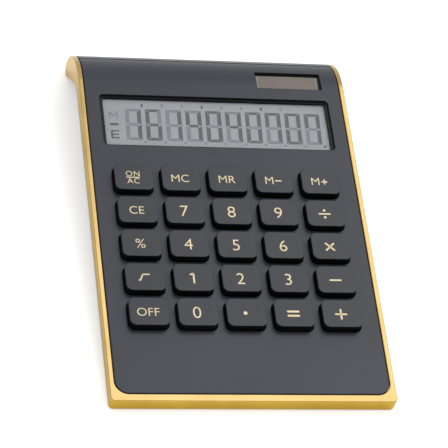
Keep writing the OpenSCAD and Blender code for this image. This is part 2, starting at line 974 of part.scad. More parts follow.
module cell_wire_plus() {
    x = cell_x - cell_d / 2 - 2;
    color("red") stand()
        wire(channel_route(
            [
                from_face(x, cell_s, well_floor_z + wire_r + 0.02),
                from_face(x - 3, cell_s, well_floor_z + wire_r + 0.02),
                [x - 9, flat_l + 7, wire_z - 0.6],
                [-wire_x - wire_step, flat_l + 4, wire_z]
            ],
            -wire_x - wire_step
        ));
}

module cell_wire_minus() {
    x = cell_x + 3.2 + wire_r + 0.02;
    z = well_floor_z + well_floor_t + wire_r + 0.05;
    color("black") stand()
        wire(channel_route(
            [
                from_face(x, cell_s, z),
                from_face(x, cell_s - 4, z + 0.12),
                from_face(x - 3, cell_s - 7.5, z + 0.08),
                [x - 10, flat_l + 3.5, wire_z + 0.4],
                [-wire_x + 5, flat_l + 1.5, wire_z]
            ],
            -wire_x
        ));
}

// ---- Fasteners and feet ----

// Case screws: a flat head with a cross recess, and a shank that ends in the panel's posts.
module case_screws() {
    seat_z = cover_z + head_depth;
    color("silver") stand()
        at_screws()
            difference() {
                union() {
                    translate([0, 0, seat_z - head_t])
                        cylinder(h = head_t, r = screw_head_d / 2);
                    translate([0, 0, seat_z - eps])
                        cylinder(h = screw_top_z - 0.1 - seat_z, r = screw_d / 2);
                }
                for (a = [0, 90])
                    rotate([0, 0, a])
                        translate([-0.9, -0.2, seat_z - head_t - 1])
                            cube([1.8, 0.4, 1.4]);
            }
}

// Round rubber feet, cut level with the table.
module front_feet() {
    color("black") stand()
        for (x = [-1, 1])
            difference() {
                translate([x * pad_x, pad_y, cover_z - 4])
                    cylinder(h = 4, r = pad_d / 2);
                rotate([-tilt, 0, 0])
                    translate([-far, -far, -lift - far])
                        cube([2 * far, 2 * far, far]);
            }
}

// Rubber strips set into the land of the rear foot.
module rear_feet() {
    color("black") stand()
        for (x = [-1, 1])
            rear_strip(x, strip_half, strip_l, 1.65);
}

// ---- Keys ----

// Key with a flange that keeps it behind the panel, hollow around a plunger.
module key(col, row) {
    depth = -flange_z;
    hollow_h = depth + key_h - key_wall;
    color("dimgray") stand()
        translate([key_x(col), key_y(row), 0]) {
            difference() {
                union() {
                    translate([0, 0, dome_z])
                        linear_extrude(key_h - dome_z)
                            round_rect(key_w, key_l, key_corner_r);
                    translate([0, 0, dome_z])
                        linear_extrude(flange_t)
                            round_rect(
                                key_w + 2 * flange_reach,
                                key_l + 2 * flange_reach,
                                key_corner_r + flange_reach
                            );
                }
                translate([0, 0, dome_z - 1])
                    linear_extrude(1 + flange_t + hollow_h)
                        round_rect(key_w - 2 * key_wall, key_l - 2 * key_wall, key_corner_r - key_wall);
            }
            translate([0, 0, dome_z])
                cylinder(h = key_h - key_wall / 2 - dome_z, r = 1.8);
        }
}

// ---- Parts ----

gold_frame();
front_panel();
rear_cover();
battery_door();
display_window();
display_front_glass();
display_rear_glass();
display_ribbon();
solar_cell();
solar_cell_pad();
solar_wire_plus();
solar_wire_minus();
circuit_board();
chip_blob();
chip_capacitor();
glass_diode();
key_mat();
contact_pills();
button_cell();
cell_contact_plus();
cell_contact_minus();
cell_wire_plus();
cell_wire_minus();
case_screws();
front_feet();
rear_feet();
for (row = [0 : key_rows - 1])
    for (col = [0 : key_cols - 1])
        key(col, row);
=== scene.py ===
"""Slim desk calculator in a gold frame: the finished surfaces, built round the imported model."""

import json
import logging
import math
from dataclasses import dataclass, field, replace
from enum import Enum
from typing import Callable, Iterable, Sequence

import bmesh
import bpy
from mathutils import Matrix, Vector
from mathutils.geometry import tessellate_polygon


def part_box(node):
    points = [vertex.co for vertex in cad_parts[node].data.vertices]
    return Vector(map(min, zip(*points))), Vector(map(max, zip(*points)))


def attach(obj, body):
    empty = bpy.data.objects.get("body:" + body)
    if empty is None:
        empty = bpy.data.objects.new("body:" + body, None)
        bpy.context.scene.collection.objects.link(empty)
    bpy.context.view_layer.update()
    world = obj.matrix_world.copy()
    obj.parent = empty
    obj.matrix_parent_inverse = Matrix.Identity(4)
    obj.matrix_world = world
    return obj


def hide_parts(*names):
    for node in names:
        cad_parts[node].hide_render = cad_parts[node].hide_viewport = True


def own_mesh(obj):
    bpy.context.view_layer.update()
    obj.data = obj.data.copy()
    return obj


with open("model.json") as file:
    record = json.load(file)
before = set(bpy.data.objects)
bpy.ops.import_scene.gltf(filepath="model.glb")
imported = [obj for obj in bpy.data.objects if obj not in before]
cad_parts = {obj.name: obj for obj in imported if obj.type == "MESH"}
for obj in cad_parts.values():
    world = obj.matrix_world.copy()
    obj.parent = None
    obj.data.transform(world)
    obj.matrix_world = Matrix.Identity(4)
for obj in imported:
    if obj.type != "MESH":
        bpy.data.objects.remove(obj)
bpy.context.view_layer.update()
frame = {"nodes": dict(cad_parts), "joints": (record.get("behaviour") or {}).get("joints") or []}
LOG = logging.getLogger("calculator")
MM = 0.001
CASE = "case"
AXIS_R = 0.01
JOIN = 1e-4
Point = Sequence[float]
Loop = list[tuple[float, float]]
Ring = list[tuple[float, float, float]]
Colour = tuple[float, float, float]


def rgb(red: int, green: int, blue: int) -> Colour:
    """Turns a colour on the usual 0 to 255 scale into a linear one.

    Args:
        red: Red, from 0 to 255.
        green: Green, from 0 to 255.
        blue: Blue, from 0 to 255.

    Returns:
        The linear colour.
    """
    def linear(value: float) -> float:
        """Undoes the display curve for one channel."""
        return value / 12.92 if value <= 0.04045 else ((value + 0.055) / 1.055) ** 2.4

    return (linear(red / 255), linear(green / 255), linear(blue / 255))


def joint_of(body: str) -> dict:
    """Finds the joint that a body moves on."""
    return next(joint for joint in frame["joints"] if joint["child"] == body)


# ---- Layout -------------------------------------------------------------------------------------


@dataclass(frozen=True)
class Layout:
    """Sizes that the body is laid out from, in millimetres, in the flat frame of its panel.

    X runs to the right, Y up the panel from the inner edge of the front bar, and Z out of its face.
    """

    side_margin: float = 7.28
    front_margin: float = 27.14
    key_w: float = 14.66
    key_l: float = 11.9
    key_h: float = 3.08
    space_x: float = 3.385
    space_y: float = 3.135
    key_gap: float = 0.22
    key_r: float = 2.4
    panel_gap: float = 0.3
    panel_t: float = 1.2
    panel_r: float = 5.0
    rail_w: float = 1.9
    bar_w: float = 3.0
    depth: float = 5.5
    curl_r: float = 24.5
    display_space: float = 11.12
    display_margin: float = 5.45
    display_l: float = 23.9
    curl_space: float = 6.8
    seam_angle: float = 36.5
    frame_clear: float = 0.4
    toe_r: float = 2.0
    slope: float = 45.0
    foot_depth: float = 9.5
    glass_shift: float = 0.15
    glass_z: float = -2.6
    columns: int = 5
    rows: int = 5

    @property
    def pitch_x(self) -> float:
        """Distance from one column of keys to the next."""
        return self.key_w + self.space_x

    @property
    def pitch_y(self) -> float:
        """Distance from one row of keys to the next."""
        return self.key_l + self.space_y

    @property
    def panel_half(self) -> float:
        """Half the panel's width."""
        return ((self.columns - 1) * self.pitch_x + self.key_w) / 2 + self.side_margin

    @property
    def inner_half(self) -> float:
        """Half the width between the frame's cheeks."""
        return self.panel_half + self.panel_gap

    @property
    def outer_half(self) -> float:
        """Half the whole width."""
        return self.inner_half + self.rail_w

    @property
    def keys_top(self) -> float:
        """Where the last row of keys ends."""
        return self.front_margin + (self.rows - 1) * self.pitch_y + self.key_l

    @property
    def display_y(self) -> float:
        """Where the display opening starts."""
        return self.keys_top + self.display_space

    @property
    def display_w(self) -> float:
        """Width of the display opening."""
        return 2 * (self.panel_half - self.display_margin)

    @property
    def flat_l(self) -> float:
        """Where the flat panel ends and the curl starts."""
        return self.display_y + self.display_l + self.curl_space

    @property
    def seam_l(self) -> float:
        """Length of the panel along its face, flat and curl together."""
        return self.flat_l + self.curl_r * math.radians(self.seam_angle)

    def key_at(self, column: int, row: int) -> tuple[float, float]:
        """Finds the centre of a key.

        Args:
            column: Column, from the left.
            row: Row, from the top.

        Returns:
            X and Y of the key's centre.
        """
        x = (column - (self.columns - 1) / 2) * self.pitch_x
        y = self.front_margin + self.key_l / 2 + (self.rows - 1 - row) * self.pitch_y
        return x, y

    def key_places(self) -> list[tuple[float, float]]:
        """Finds the centre of every key, row by row from the top."""
        return [self.key_at(column, row) for row in range(self.rows) for column in range(self.columns)]

    def stake_places(self) -> list[tuple[float, float]]:
        """Finds the four places between the keys where the board is staked."""
        corners = [self.key_at(column, row) for column, row in ((0, 0), (3, 0), (0, 3), (3, 3))]
        return [(x + self.pitch_x / 2, y - self.pitch_y / 2) for x, y in corners]

    @property
    def tilt(self) -> float:
        """Angle that the body leans back at, read from the way that a key is pressed."""
        press = joint_of("key_5")
        return math.atan2(press["axis"][1], -press["axis"][2])

    def place(self) -> Matrix:
        """Works out where the flat frame sits, from the display's front glass.

        Returns:
            The matrix that takes panel millimetres to metres in the model's frame.
        """
        low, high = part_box("display_front_glass")
        turn = Matrix.Rotation(self.tilt, 4, "X")
        glass = Vector((0, self.display_y + self.display_l / 2 + self.glass_shift, self.glass_z))
        origin = (low + high) / 2 - turn @ (glass * MM)
        return Matrix.Translation(origin) @ turn @ Matrix.Scale(MM, 4)


LAYOUT = Layout()
PLACE = LAYOUT.place()


# ---- Outlines and shells ------------------------------------------------------------------------


@dataclass(frozen=True)
class RoundRect:
    """A rectangle with round corners, centred on a point."""

    x: float
    y: float
    w: float
    l: float
    r: float
    steps: int = 8

    def grown(self, grow: float) -> "RoundRect":
        """Makes the rectangle larger all round."""
        w, l, r = self.w + 2 * grow, self.l + 2 * grow, self.r + grow
        return RoundRect(self.x, self.y, w, l, r, self.steps)

    def loop(self, grow: float = 0.0) -> Loop:
        """Goes once round the outline.

        Args:
            grow: How far the outline is moved outwards.

        Returns:
            Its points, anticlockwise, as many for any grow.
        """
        r = max(self.r + grow, 0.01)
        half_w, half_l = self.w / 2 + grow - r, self.l / 2 + grow - r
        points = []
        for quarter, (side, end) in enumerate(((1, 1), (-1, 1), (-1, -1), (1, -1))):
            for i in range(self.steps + 1):
                angle = math.pi / 2 * (quarter + i / self.steps)
                x = self.x + side * half_w + r * math.cos(angle)
                points.append((x, self.y + end * half_l + r * math.sin(angle)))
        return points


@dataclass(frozen=True)
class TrayOutline:
    """The panel's outline: round at its front corners and square at its back edge."""

    half: float
    front: float
    back: float
    r: float
    stops: tuple[float, ...] = ()
    steps: int = 12

    def loop(self, grow: float = 0.0) -> Loop:
        """Goes once round the outline.

        Args:
            grow: How far the outline is moved outwards.

        Returns:
            Its points, anticlockwise from the left front corner.
        """
        half, r = self.half + grow, self.r + grow
        corner = [math.pi / 2 * i / self.steps for i in range(self.steps + 1)]
        left, right, y = self.r - self.half, self.half - self.r, self.front + self.r
        points = [(left - r * math.cos(a), y - r * math.sin(a)) for a in corner]
        points += [(right + r * math.sin(a), y - r * math.cos(a)) for a in corner]
        points += [(half, stop) for stop in self.stops]
        points += [(half, self.back + grow), (-half, self.back + grow)]
        points += [(-half, stop) for stop in reversed(self.stops)]
        return points


Outline = RoundRect | TrayOutline


class Side(Enum):
    """Which side of an outline its material is on."""

    INSIDE = -1
    OUTSIDE = 1


def at_height(loop: Loop, z: float) -> Ring:
    """Lifts a flat loop to a height."""
    return [(x, y, z) for x, y in loop]


def rolled(outline: Outline, top: float, radius: float, side: Side, steps: int = 5) -> list[Ring]:
    """Rolls the edge between a wall and the face above it.

    Args:
        outline: The wall's outline.
        top: Height of the face.
        radius: Radius of the edge.
        side: Side of the outline that the material is on.
        steps: Number of facets across the edge.

    Returns:
        Rings from the wall up onto the face.
    """
    rings = []
    for i in range(steps + 1):
        angle = math.pi / 2 * i / steps
        grow = side.value * radius * (1 - math.cos(angle))
        rings.append(at_height(outline.loop(grow), top - radius * (1 - math.sin(angle))))
    return rings


class Shell:
    """A mesh under construction, in panel millimetres."""

    def __init__(self) -> None:
        """Starts with nothing in it."""
        self.bm = bmesh.new()

    def ring(self, points: Iterable[Point]) -> list[bmesh.types.BMVert]:
        """Adds the points of a ring."""
        return [self.bm.verts.new(point) for point in points]

    def bridge(self, first: Sequence, second: Sequence, finish: int = 0, closed: bool = True) -> None:
        """Joins two rings of as many points with a band of faces.

        Args:
            first: Points of one ring.
            second: Points of the other.
            finish: Which of the piece's finishes the band gets.
            closed: Whether the rings are closed.
        """
        count = len(first)
        for i in range(count if closed else count - 1):
            j = (i + 1) % count
            face = self.bm.faces.new((first[i], first[j], second[j], second[i]))
            face.material_index = finish

    def stack(self, rings: Sequence[Iterable[Point]], finish: int = 0) -> tuple[list, list]:
        """Joins a stack of rings in order.

        Args:
            rings: The rings, of as many points each.
            finish: Which of the piece's finishes the stack gets.

        Returns:
            The points of the first and the last ring.
        """
        made = [self.ring(ring) for ring in rings]
        for first, second in zip(made, made[1:]):
            self.bridge(first, second, finish)
        return made[0], made[-1]

    def fill(self, loops: Sequence[Sequence], finish: int = 0) -> None:
        """Fills the first loop with faces, leaving the other loops open.

        Args:
            loops: The outer loop and then the holes, as the shell's points.
            finish: Which of the piece's finishes the faces get.
        """
        points = [vert for loop in loops for vert in loop]
        for corners in tessellate_polygon([[vert.co for vert in loop] for loop in loops]):
            face = self.bm.faces.new([points[i] for i in corners])
            face.material_index = finish

    def capped(self, rings: Sequence[Iterable[Point]], finish: int = 0) -> None:
        """Joins a stack of rings in order and closes both of its ends."""
        for end in self.stack(rings, finish):
            self.fill([end], finish)

    def plugged(self, rings: Sequence[Iterable[Point]]) -> None:
        """Joins a stack of rings in order and closes each of its ends with one flat face."""
        for end in self.stack(rings):
            self.bm.faces.new(end)

    def block(self, outline: Outline, low: float, high: float, edge: float, finish: int = 0) -> None:
        """Adds a solid block with rolled upper and lower edges.

        Args:
            outline: Its outline.
            low: Height of its underside.
            high: Height of its top.
            edge: Radius of its edges.
            finish: Which of the piece's finishes it gets.
        """
        over = rolled(outline, high, edge, Side.INSIDE, 3)
        under = [[(x, y, low + high - z) for x, y, z in ring] for ring in reversed(over)]
        self.capped(under + over, finish)

    def turned(
        self, x: float, y: float, profile: Sequence[Point], finish: int = 0, sides: int = 32
    ) -> None:
        """Turns a closed profile of radii and heights about an upright axis.

        Args:
            x: X of the axis.
            y: Y of the axis.
            profile: Pairs of radius and height.
            finish: Which of the piece's finishes it gets.
            sides: Number of facets round the axis.
        """
        turns = [2 * math.pi * i / sides for i in range(sides)]
        ways = [(math.cos(a), math.sin(a)) for a in turns]
        made = [self.ring((x + r * cos, y + r * sin, z) for cos, sin in ways) for r, z in profile]
        for first, second in zip(made, made[1:] + made[:1]):
            self.bridge(first, second, finish)

    def tint(self, finish: int, wanted: Callable[[bmesh.types.BMFace], bool]) -> None:
        """Gives another finish to the faces that are wanted."""
        for face in self.bm.faces:
            if wanted(face):
                face.material_index = finish

    def cut_across(self, places: Iterable[float]) -> None:
        """Cuts every face along lines that run across the panel."""
        for y in places:
            parts = self.bm.verts[:] + self.bm.edges[:] + self.bm.faces[:]
            plane = {"plane_co": (0, y, 0), "plane_no": (0, 1, 0)}
            bmesh.ops.bisect_plane(self.bm, geom=parts, dist=JOIN, **plane)

    def curl(self, layout: Layout, steps: int = 18) -> None:
        """Bends what lies beyond the flat panel round the curl.

        Args:
            layout: The body's layout.
            steps: Number of facets round the curl.
        """
        length = layout.seam_l - layout.flat_l
        run = [layout.flat_l + length * i / steps for i in range(steps + 4)]
        self.cut_across([layout.flat_l - 4, layout.flat_l - 1.5] + run)
        for vert in self.bm.verts:
            over = vert.co.y - layout.flat_l
            if over > 0:
                angle, r = over / layout.curl_r, layout.curl_r + vert.co.z
                vert.co.y = layout.flat_l + r * math.sin(angle)
                vert.co.z = r * math.cos(angle) - layout.curl_r

    def piece(
        self,
        name: str,
        finishes: Sequence[bpy.types.Material],
        slot: str,
        body: str = CASE,
        replaces: Sequence[str] = (),
        crease: float = 34,
    ) -> bpy.types.Object:
        """Turns the shell into a finished object that rides on a body.

        Args:
            name: The piece's name.
            finishes: Its materials, in the order that its faces name them.
            slot: The record's material slot; not used.
            body: The body that it moves with.
            replaces: The nodes that it stands for.
            crease: Angle in degrees above which an edge stays sharp.

        Returns:
            The object.
        """
        bmesh.ops.remove_doubles(self.bm, verts=self.bm.verts[:], dist=JOIN)
        bmesh.ops.dissolve_degenerate(self.bm, edges=self.bm.edges[:], dist=1e-5)
        bmesh.ops.recalc_face_normals(self.bm, faces=self.bm.faces[:])
        mesh = bpy.data.meshes.new(name)
        self.bm.to_mesh(mesh)
        self.bm.free()
        mesh.transform(PLACE)
        for finish in finishes:
            mesh.materials.append(finish)
        mesh.shade_smooth()
        mesh.set_sharp_from_angle(angle=math.radians(crease))
        piece = bpy.data.objects.new(name, mesh)
        bpy.context.scene.collection.objects.link(piece)
        piece.modifiers.new("even shading", "WEIGHTED_NORMAL").keep_sharp = True
        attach(piece, body)
        if replaces:
            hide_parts(*replaces)
        LOG.info("%s: %d faces on %s", name, len(mesh.polygons), body)
        return piece


# ---- Shared surface effects ---------------------------------------------------------------------


class Effect(Enum):
    """The shader node groups that the finishes share."""

    GRAIN = "fine grain"
    WEAR = "worn edges"
    HANDLING = "handling marks"
    TONE = "uneven tone"


class EffectLibrary:
    """Builds each shared effect once and hands out its node group."""

    def __init__(self) -> None:
        """Starts with no group built."""
        self.groups: dict[Effect, bpy.types.NodeTree] = {}
        self.pit_scale, self.pit_share = 0.31, 0.35
        self.edge_r = 0.00025

    def get(self, effect: Effect) -> bpy.types.NodeTree:
        """Finds an effect's group, building it the first time.

        Args:
            effect: The effect.

        Returns:
            Its shader node group.
        """
        if effect not in self.groups:
            builders = {
                Effect.GRAIN: self.grain,
                Effect.WEAR: self.wear,
                Effect.HANDLING: self.handling,
                Effect.TONE: self.tone,
            }
            self.groups[effect] = builders[effect]()
        return self.groups[effect]

    @staticmethod
    def start(effect: Effect, inputs: dict[str, float | Colour], outputs: dict[str, str]) -> "Pad":
        """Makes an empty group with named sockets.

        Args:
            effect: The effect.
            inputs: Each input's name and usual value.
            outputs: Each output's name and socket type.

        Returns:
            A pad for the group's nodes.
        """
        tree = bpy.data.node_groups.new(effect.value, "ShaderNodeTree")
        for name, value in inputs.items():
            kind = "NodeSocketColor" if isinstance(value, tuple) else "NodeSocketFloat"
            socket = tree.interface.new_socket(name, in_out="INPUT", socket_type=kind)
            socket.default_value = (*value, 1.0) if isinstance(value, tuple) else value
        for name, kind in outputs.items():
            tree.interface.new_socket(name, in_out="OUTPUT", socket_type=kind)
        return Pad(tree)

    def grain(self) -> bpy.types.NodeTree:
        """Builds the fine grain of a moulded, blasted or woven surface.

        Returns:
            The group, which puts out a height.
        """
        pad = self.start(Effect.GRAIN, {"Scale": 4000.0, "Stretch": 1.0}, {"Height": "NodeSocketFloat"})
        given, place = pad.add("NodeGroupInput"), pad.add("ShaderNodeTexCoord")
        axes = pad.add("ShaderNodeCombineXYZ", X=1.0, Y=given.outputs["Stretch"], Z=1.0)
        moved = pad.maths("MULTIPLY", place.outputs["Object"], axes.outputs[0], vector=True)
        scale = given.outputs["Scale"]
        fine = pad.add("ShaderNodeTexNoise", Vector=moved, Scale=scale, Detail=3.0, Roughness=0.6)
        coarse = pad.maths("MULTIPLY", scale, self.pit_scale)
        pits = pad.add("ShaderNodeTexVoronoi", Vector=moved, Scale=coarse)
        depth = pad.maths("MULTIPLY", pits.outputs["Distance"], self.pit_share)
        pad.add("NodeGroupOutput", Height=pad.maths("ADD", fine.outputs[0], depth))
        return pad.tree

    def wear(self) -> bpy.types.NodeTree:
        """Builds the mask of the places where an edge is rubbed.

        Returns:
            The group, which puts out a mask.
        """
        pad = self.start(Effect.WEAR, {"Amount": 0.5}, {"Mask": "NodeSocketFloat"})
        given, place = pad.add("NodeGroupInput"), pad.add("ShaderNodeTexCoord")
        patchy = pad.add("ShaderNodeTexNoise", Vector=place.outputs["Object"], Scale=160.0, Detail=4.0)
        rounded = pad.add("ShaderNodeBevel", Radius=self.edge_r)
        rounded.samples = 4
        turned = pad.tree.nodes.new("ShaderNodeVectorMath")
        turned.operation = "DOT_PRODUCT"
        pad.set(turned.inputs[0], rounded.outputs[0])
        pad.set(turned.inputs[1], pad.add("ShaderNodeNewGeometry").outputs["Normal"])
        sharp = pad.ramp(turned.outputs["Value"], 0.99, 0.9)
        mask = pad.maths("MULTIPLY", sharp, pad.ramp(patchy.outputs[0], 0.42, 0.62))
        pad.add("NodeGroupOutput", Mask=pad.maths("MULTIPLY", mask, given.outputs["Amount"]))
        return pad.tree

    def handling(self) -> bpy.types.NodeTree:
        """Builds the change in gloss that fingers and wiping leave.

        Returns:
            The group, which puts out a roughness.
        """
        inputs = {"Roughness": 0.4, "Spread": 0.08, "Scale": 45.0}
        pad = self.start(Effect.HANDLING, inputs, {"Roughness": "NodeSocketFloat"})
        given, place = pad.add("NodeGroupInput"), pad.add("ShaderNodeTexCoord")
        at, scale = place.outputs["Object"], given.outputs["Scale"]
        cloud = pad.add("ShaderNodeTexNoise", Vector=at, Scale=scale, Detail=5.0, Distortion=0.6)
        centred = pad.maths("MULTIPLY_ADD", cloud.outputs[0], 2.0, -1.0)
        spread = pad.maths("MULTIPLY", centred, given.outputs["Spread"])
        pad.add("NodeGroupOutput", Roughness=pad.maths("ADD", given.outputs["Roughness"], spread))
        return pad.tree

    def tone(self) -> bpy.types.NodeTree:
        """Builds a colour that is uneven over the surface.

        Returns:
            The group, which puts out a colour.
        """
        inputs = {"Colour": (0.5, 0.5, 0.5), "Other": (0.4, 0.4, 0.4), "Scale": 30.0}
        pad = self.start(Effect.TONE, inputs, {"Colour": "NodeSocketColor"})
        given, place = pad.add("NodeGroupInput"), pad.add("ShaderNodeTexCoord")
        at = place.outputs["Object"]
        cloud = pad.add("ShaderNodeTexNoise", Vector=at, Scale=given.outputs["Scale"], Detail=4.0)
        share = pad.ramp(cloud.outputs[0], 0.35, 0.65)
        mixed = pad.mix(share, given.outputs["Colour"], given.outputs["Other"])
        pad.add("NodeGroupOutput", Colour=mixed)
        return pad.tree


class Pad:
    """Puts nodes into a node tree in few words."""

    def __init__(self, tree: bpy.types.NodeTree) -> None:
        """Keeps the tree that the nodes go into."""
        self.tree = tree

    def set(self, socket: bpy.types.NodeSocket, value: object) -> None:
        """Links a socket to another or gives it a value."""
        if isinstance(value, bpy.types.NodeSocket):
            self.tree.links.new(value, socket)
        elif value is not None:
            needs_alpha = isinstance(value, tuple) and len(value) == 3 and socket.type == "RGBA"
            socket.default_value = (*value, 1.0) if needs_alpha else value

    def add(self, kind: str, **inputs: object) -> bpy.types.Node:
        """Adds a node.

        Args:
            kind: The node's type.
            inputs: What goes into its inputs, with an underscore for each space in a name.

        Returns:
            The node.
        """
        node = self.tree.nodes.new(kind)
        for name, value in inputs.items():
            self.set(node.inputs[name.replace("_", " ")], value)
        return node

    def maths(
        self, operation: str, first: object, second: object, third: object = None, vector: bool = False
    ) -> bpy.types.NodeSocket:
        """Adds a sum.

        Args:
            operation: What is done with the values.
            first: The first value or socket.
            second: The second one.
            third: The third one, where the operation takes it.
            vector: Whether the values are vectors.

        Returns:
            The socket that holds the result.
        """
        node = self.tree.nodes.new("ShaderNodeVectorMath" if vector else "ShaderNodeMath")
        node.operation = operation
        for socket, value in zip(node.inputs, (first, second, third)):
            self.set(socket, value)
        return node.outputs[0]

    def ramp(
        self, value: object, low: float, high: float, start: float = 0.0, end: float = 1.0
    ) -> bpy.types.NodeSocket:
        """Stretches a range of values smoothly onto another.

        Args:
            value: The socket that is stretched.
            low: The value that becomes start.
            high: The value that becomes end.
            start: Lowest result.
            end: Highest result.

        Returns:
            The socket that holds the result.
        """
        node = self.tree.nodes.new("ShaderNodeMapRange")
        node.interpolation_type = "SMOOTHSTEP"
        for socket, given in zip(node.inputs, (value, low, high, start, end)):
            self.set(socket, given)
        return node.outputs[0]

    def mix(self, share: object, first: object, second: object) -> bpy.types.NodeSocket:
        """Mixes two colours.

        Args:
            share: How much of the second colour there is.
            first: The first colour or socket.
            second: The second one.

        Returns:
            The socket that holds the colour.
        """
        node = self.tree.nodes.new("ShaderNodeMix")
        node.data_type = "RGBA"
        self.set(node.inputs[0], share)
        self.set(node.inputs[6], first)
        self.set(node.inputs[7], second)
        return node.outputs[2]

    def effect(self, effect: Effect, **inputs: object) -> bpy.types.Node:
        """Places a shared effect with its own values.

        Args:
            effect: The effect.
            inputs: The values of its inputs.

        Returns:
            The group's node.
        """
        node = self.tree.nodes.new("ShaderNodeGroup")
        node.node_tree = EFFECTS.get(effect)
        for name, value in inputs.items():
            self.set(node.inputs[name], value)
        return node


EFFECTS = EffectLibrary()


# ---- Finishes -----------------------------------------------------------------------------------


@dataclass(frozen=True)
class Finish:
    """A finish with its own colours, gloss and grain."""

    name: str
    colour: Colour
    other: Colour
    roughness: float = 0.45
    spread: float = 0.06
    grain: float = 5000.0
    relief: float = 0.00001
    stretch: float = 1.0
    wear: float = 0.0
    worn: Colour = (0.3, 0.3, 0.3)
    cloud: float = 30.0
    metallic: float = 0.0
    specular: float = 0.5
    coat: float = 0.0
    coat_roughness: float = 0.1
    sheen: float = 0.0
    alpha: float = 1.0
    glow: float = 0.0

    def base(self, pad: Pad) -> bpy.types.NodeSocket:
        """Makes the colour of the clean surface.

        Args:
            pad: Where the material's nodes go.

        Returns:
            The socket that holds the colour.
        """
        cloudy = pad.effect(Effect.TONE, Colour=self.colour, Other=self.other, Scale=self.cloud)
        return cloudy.outputs[0]

    def make(self) -> bpy.types.Material:
        """Builds the material.

        Returns:
            The material.
        """
        material = bpy.data.materials.new(self.name)
        material.use_nodes = True
        material.node_tree.nodes.clear()
        pad = Pad(material.node_tree)
        colour = self.base(pad)
        rubbed = pad.effect(Effect.WEAR, Amount=self.wear).outputs[0]
        gloss = pad.effect(Effect.HANDLING, Roughness=self.roughness, Spread=self.spread).outputs[0]
        grain = pad.effect(Effect.GRAIN, Scale=self.grain, Stretch=self.stretch).outputs[0]
        bump = pad.add("ShaderNodeBump", Height=grain, Distance=self.relief, Strength=1.0)
        shader = pad.add(
            "ShaderNodeBsdfPrincipled",
            Base_Color=pad.mix(rubbed, colour, self.worn),
            Roughness=gloss,
            Normal=bump.outputs[0],
            Metallic=self.metallic,
            Specular_IOR_Level=self.specular,
            Coat_Weight=self.coat,
            Coat_Roughness=self.coat_roughness,
            Sheen_Weight=self.sheen,
            Alpha=self.alpha,
        )
        if self.glow:
            seen = pad.add("ShaderNodeLightPath").outputs["Is Camera Ray"]
            pad.set(shader.inputs["Emission Color"], pad.mix(seen, (0.0, 0.0, 0.0), (self.glow,) * 3))
            pad.set(shader.inputs["Emission Strength"], 1.0)
        pad.add("ShaderNodeOutputMaterial", Surface=shader.outputs[0])
        return material


@dataclass(frozen=True)
class Laminate(Finish):
    """Green board with copper tracks under its lacquer."""

    track: Colour = (0.10, 0.24, 0.09)
    pitch: float = 0.0025

    def base(self, pad: Pad) -> bpy.types.NodeSocket:
        """Draws tracks that run along and across the board.

        Args:
            pad: Where the material's nodes go.

        Returns:
            The socket that holds the colour.
        """
        place = pad.add("ShaderNodeTexCoord").outputs["Object"]
        bricks = pad.tree.nodes.new("ShaderNodeTexBrick")
        pad.set(bricks.inputs["Vector"], place)
        pad.set(bricks.inputs["Scale"], 1 / self.pitch)
        pad.set(bricks.inputs["Mortar Size"], 0.09)
        pad.set(bricks.inputs["Brick Width"], 3.5)
        pad.set(bricks.inputs["Row Height"], 1.0)
        return pad.mix(bricks.outputs["Fac"], super().base(pad), self.track)


@dataclass(frozen=True)
class SolarFilm(Finish):
    """Thin-film cell: brown strips with fine conducting lines."""

    line: Colour = (0.05, 0.045, 0.05)

    def base(self, pad: Pad) -> bpy.types.NodeSocket:
        """Rules fine lines over the film.

        Args:
            pad: Where the material's nodes go.

        Returns:
            The socket that holds the colour.
        """
        place = pad.add("ShaderNodeTexCoord").outputs["Object"]
        waves = pad.tree.nodes.new("ShaderNodeTexWave")
        waves.bands_direction = "X"
        pad.set(waves.inputs["Vector"], place)
        pad.set(waves.inputs["Scale"], 420.0)
        thin = pad.ramp(waves.outputs["Fac"], 0.9, 1.0, 0.0, 0.35)
        return pad.mix(thin, super().base(pad), self.line)


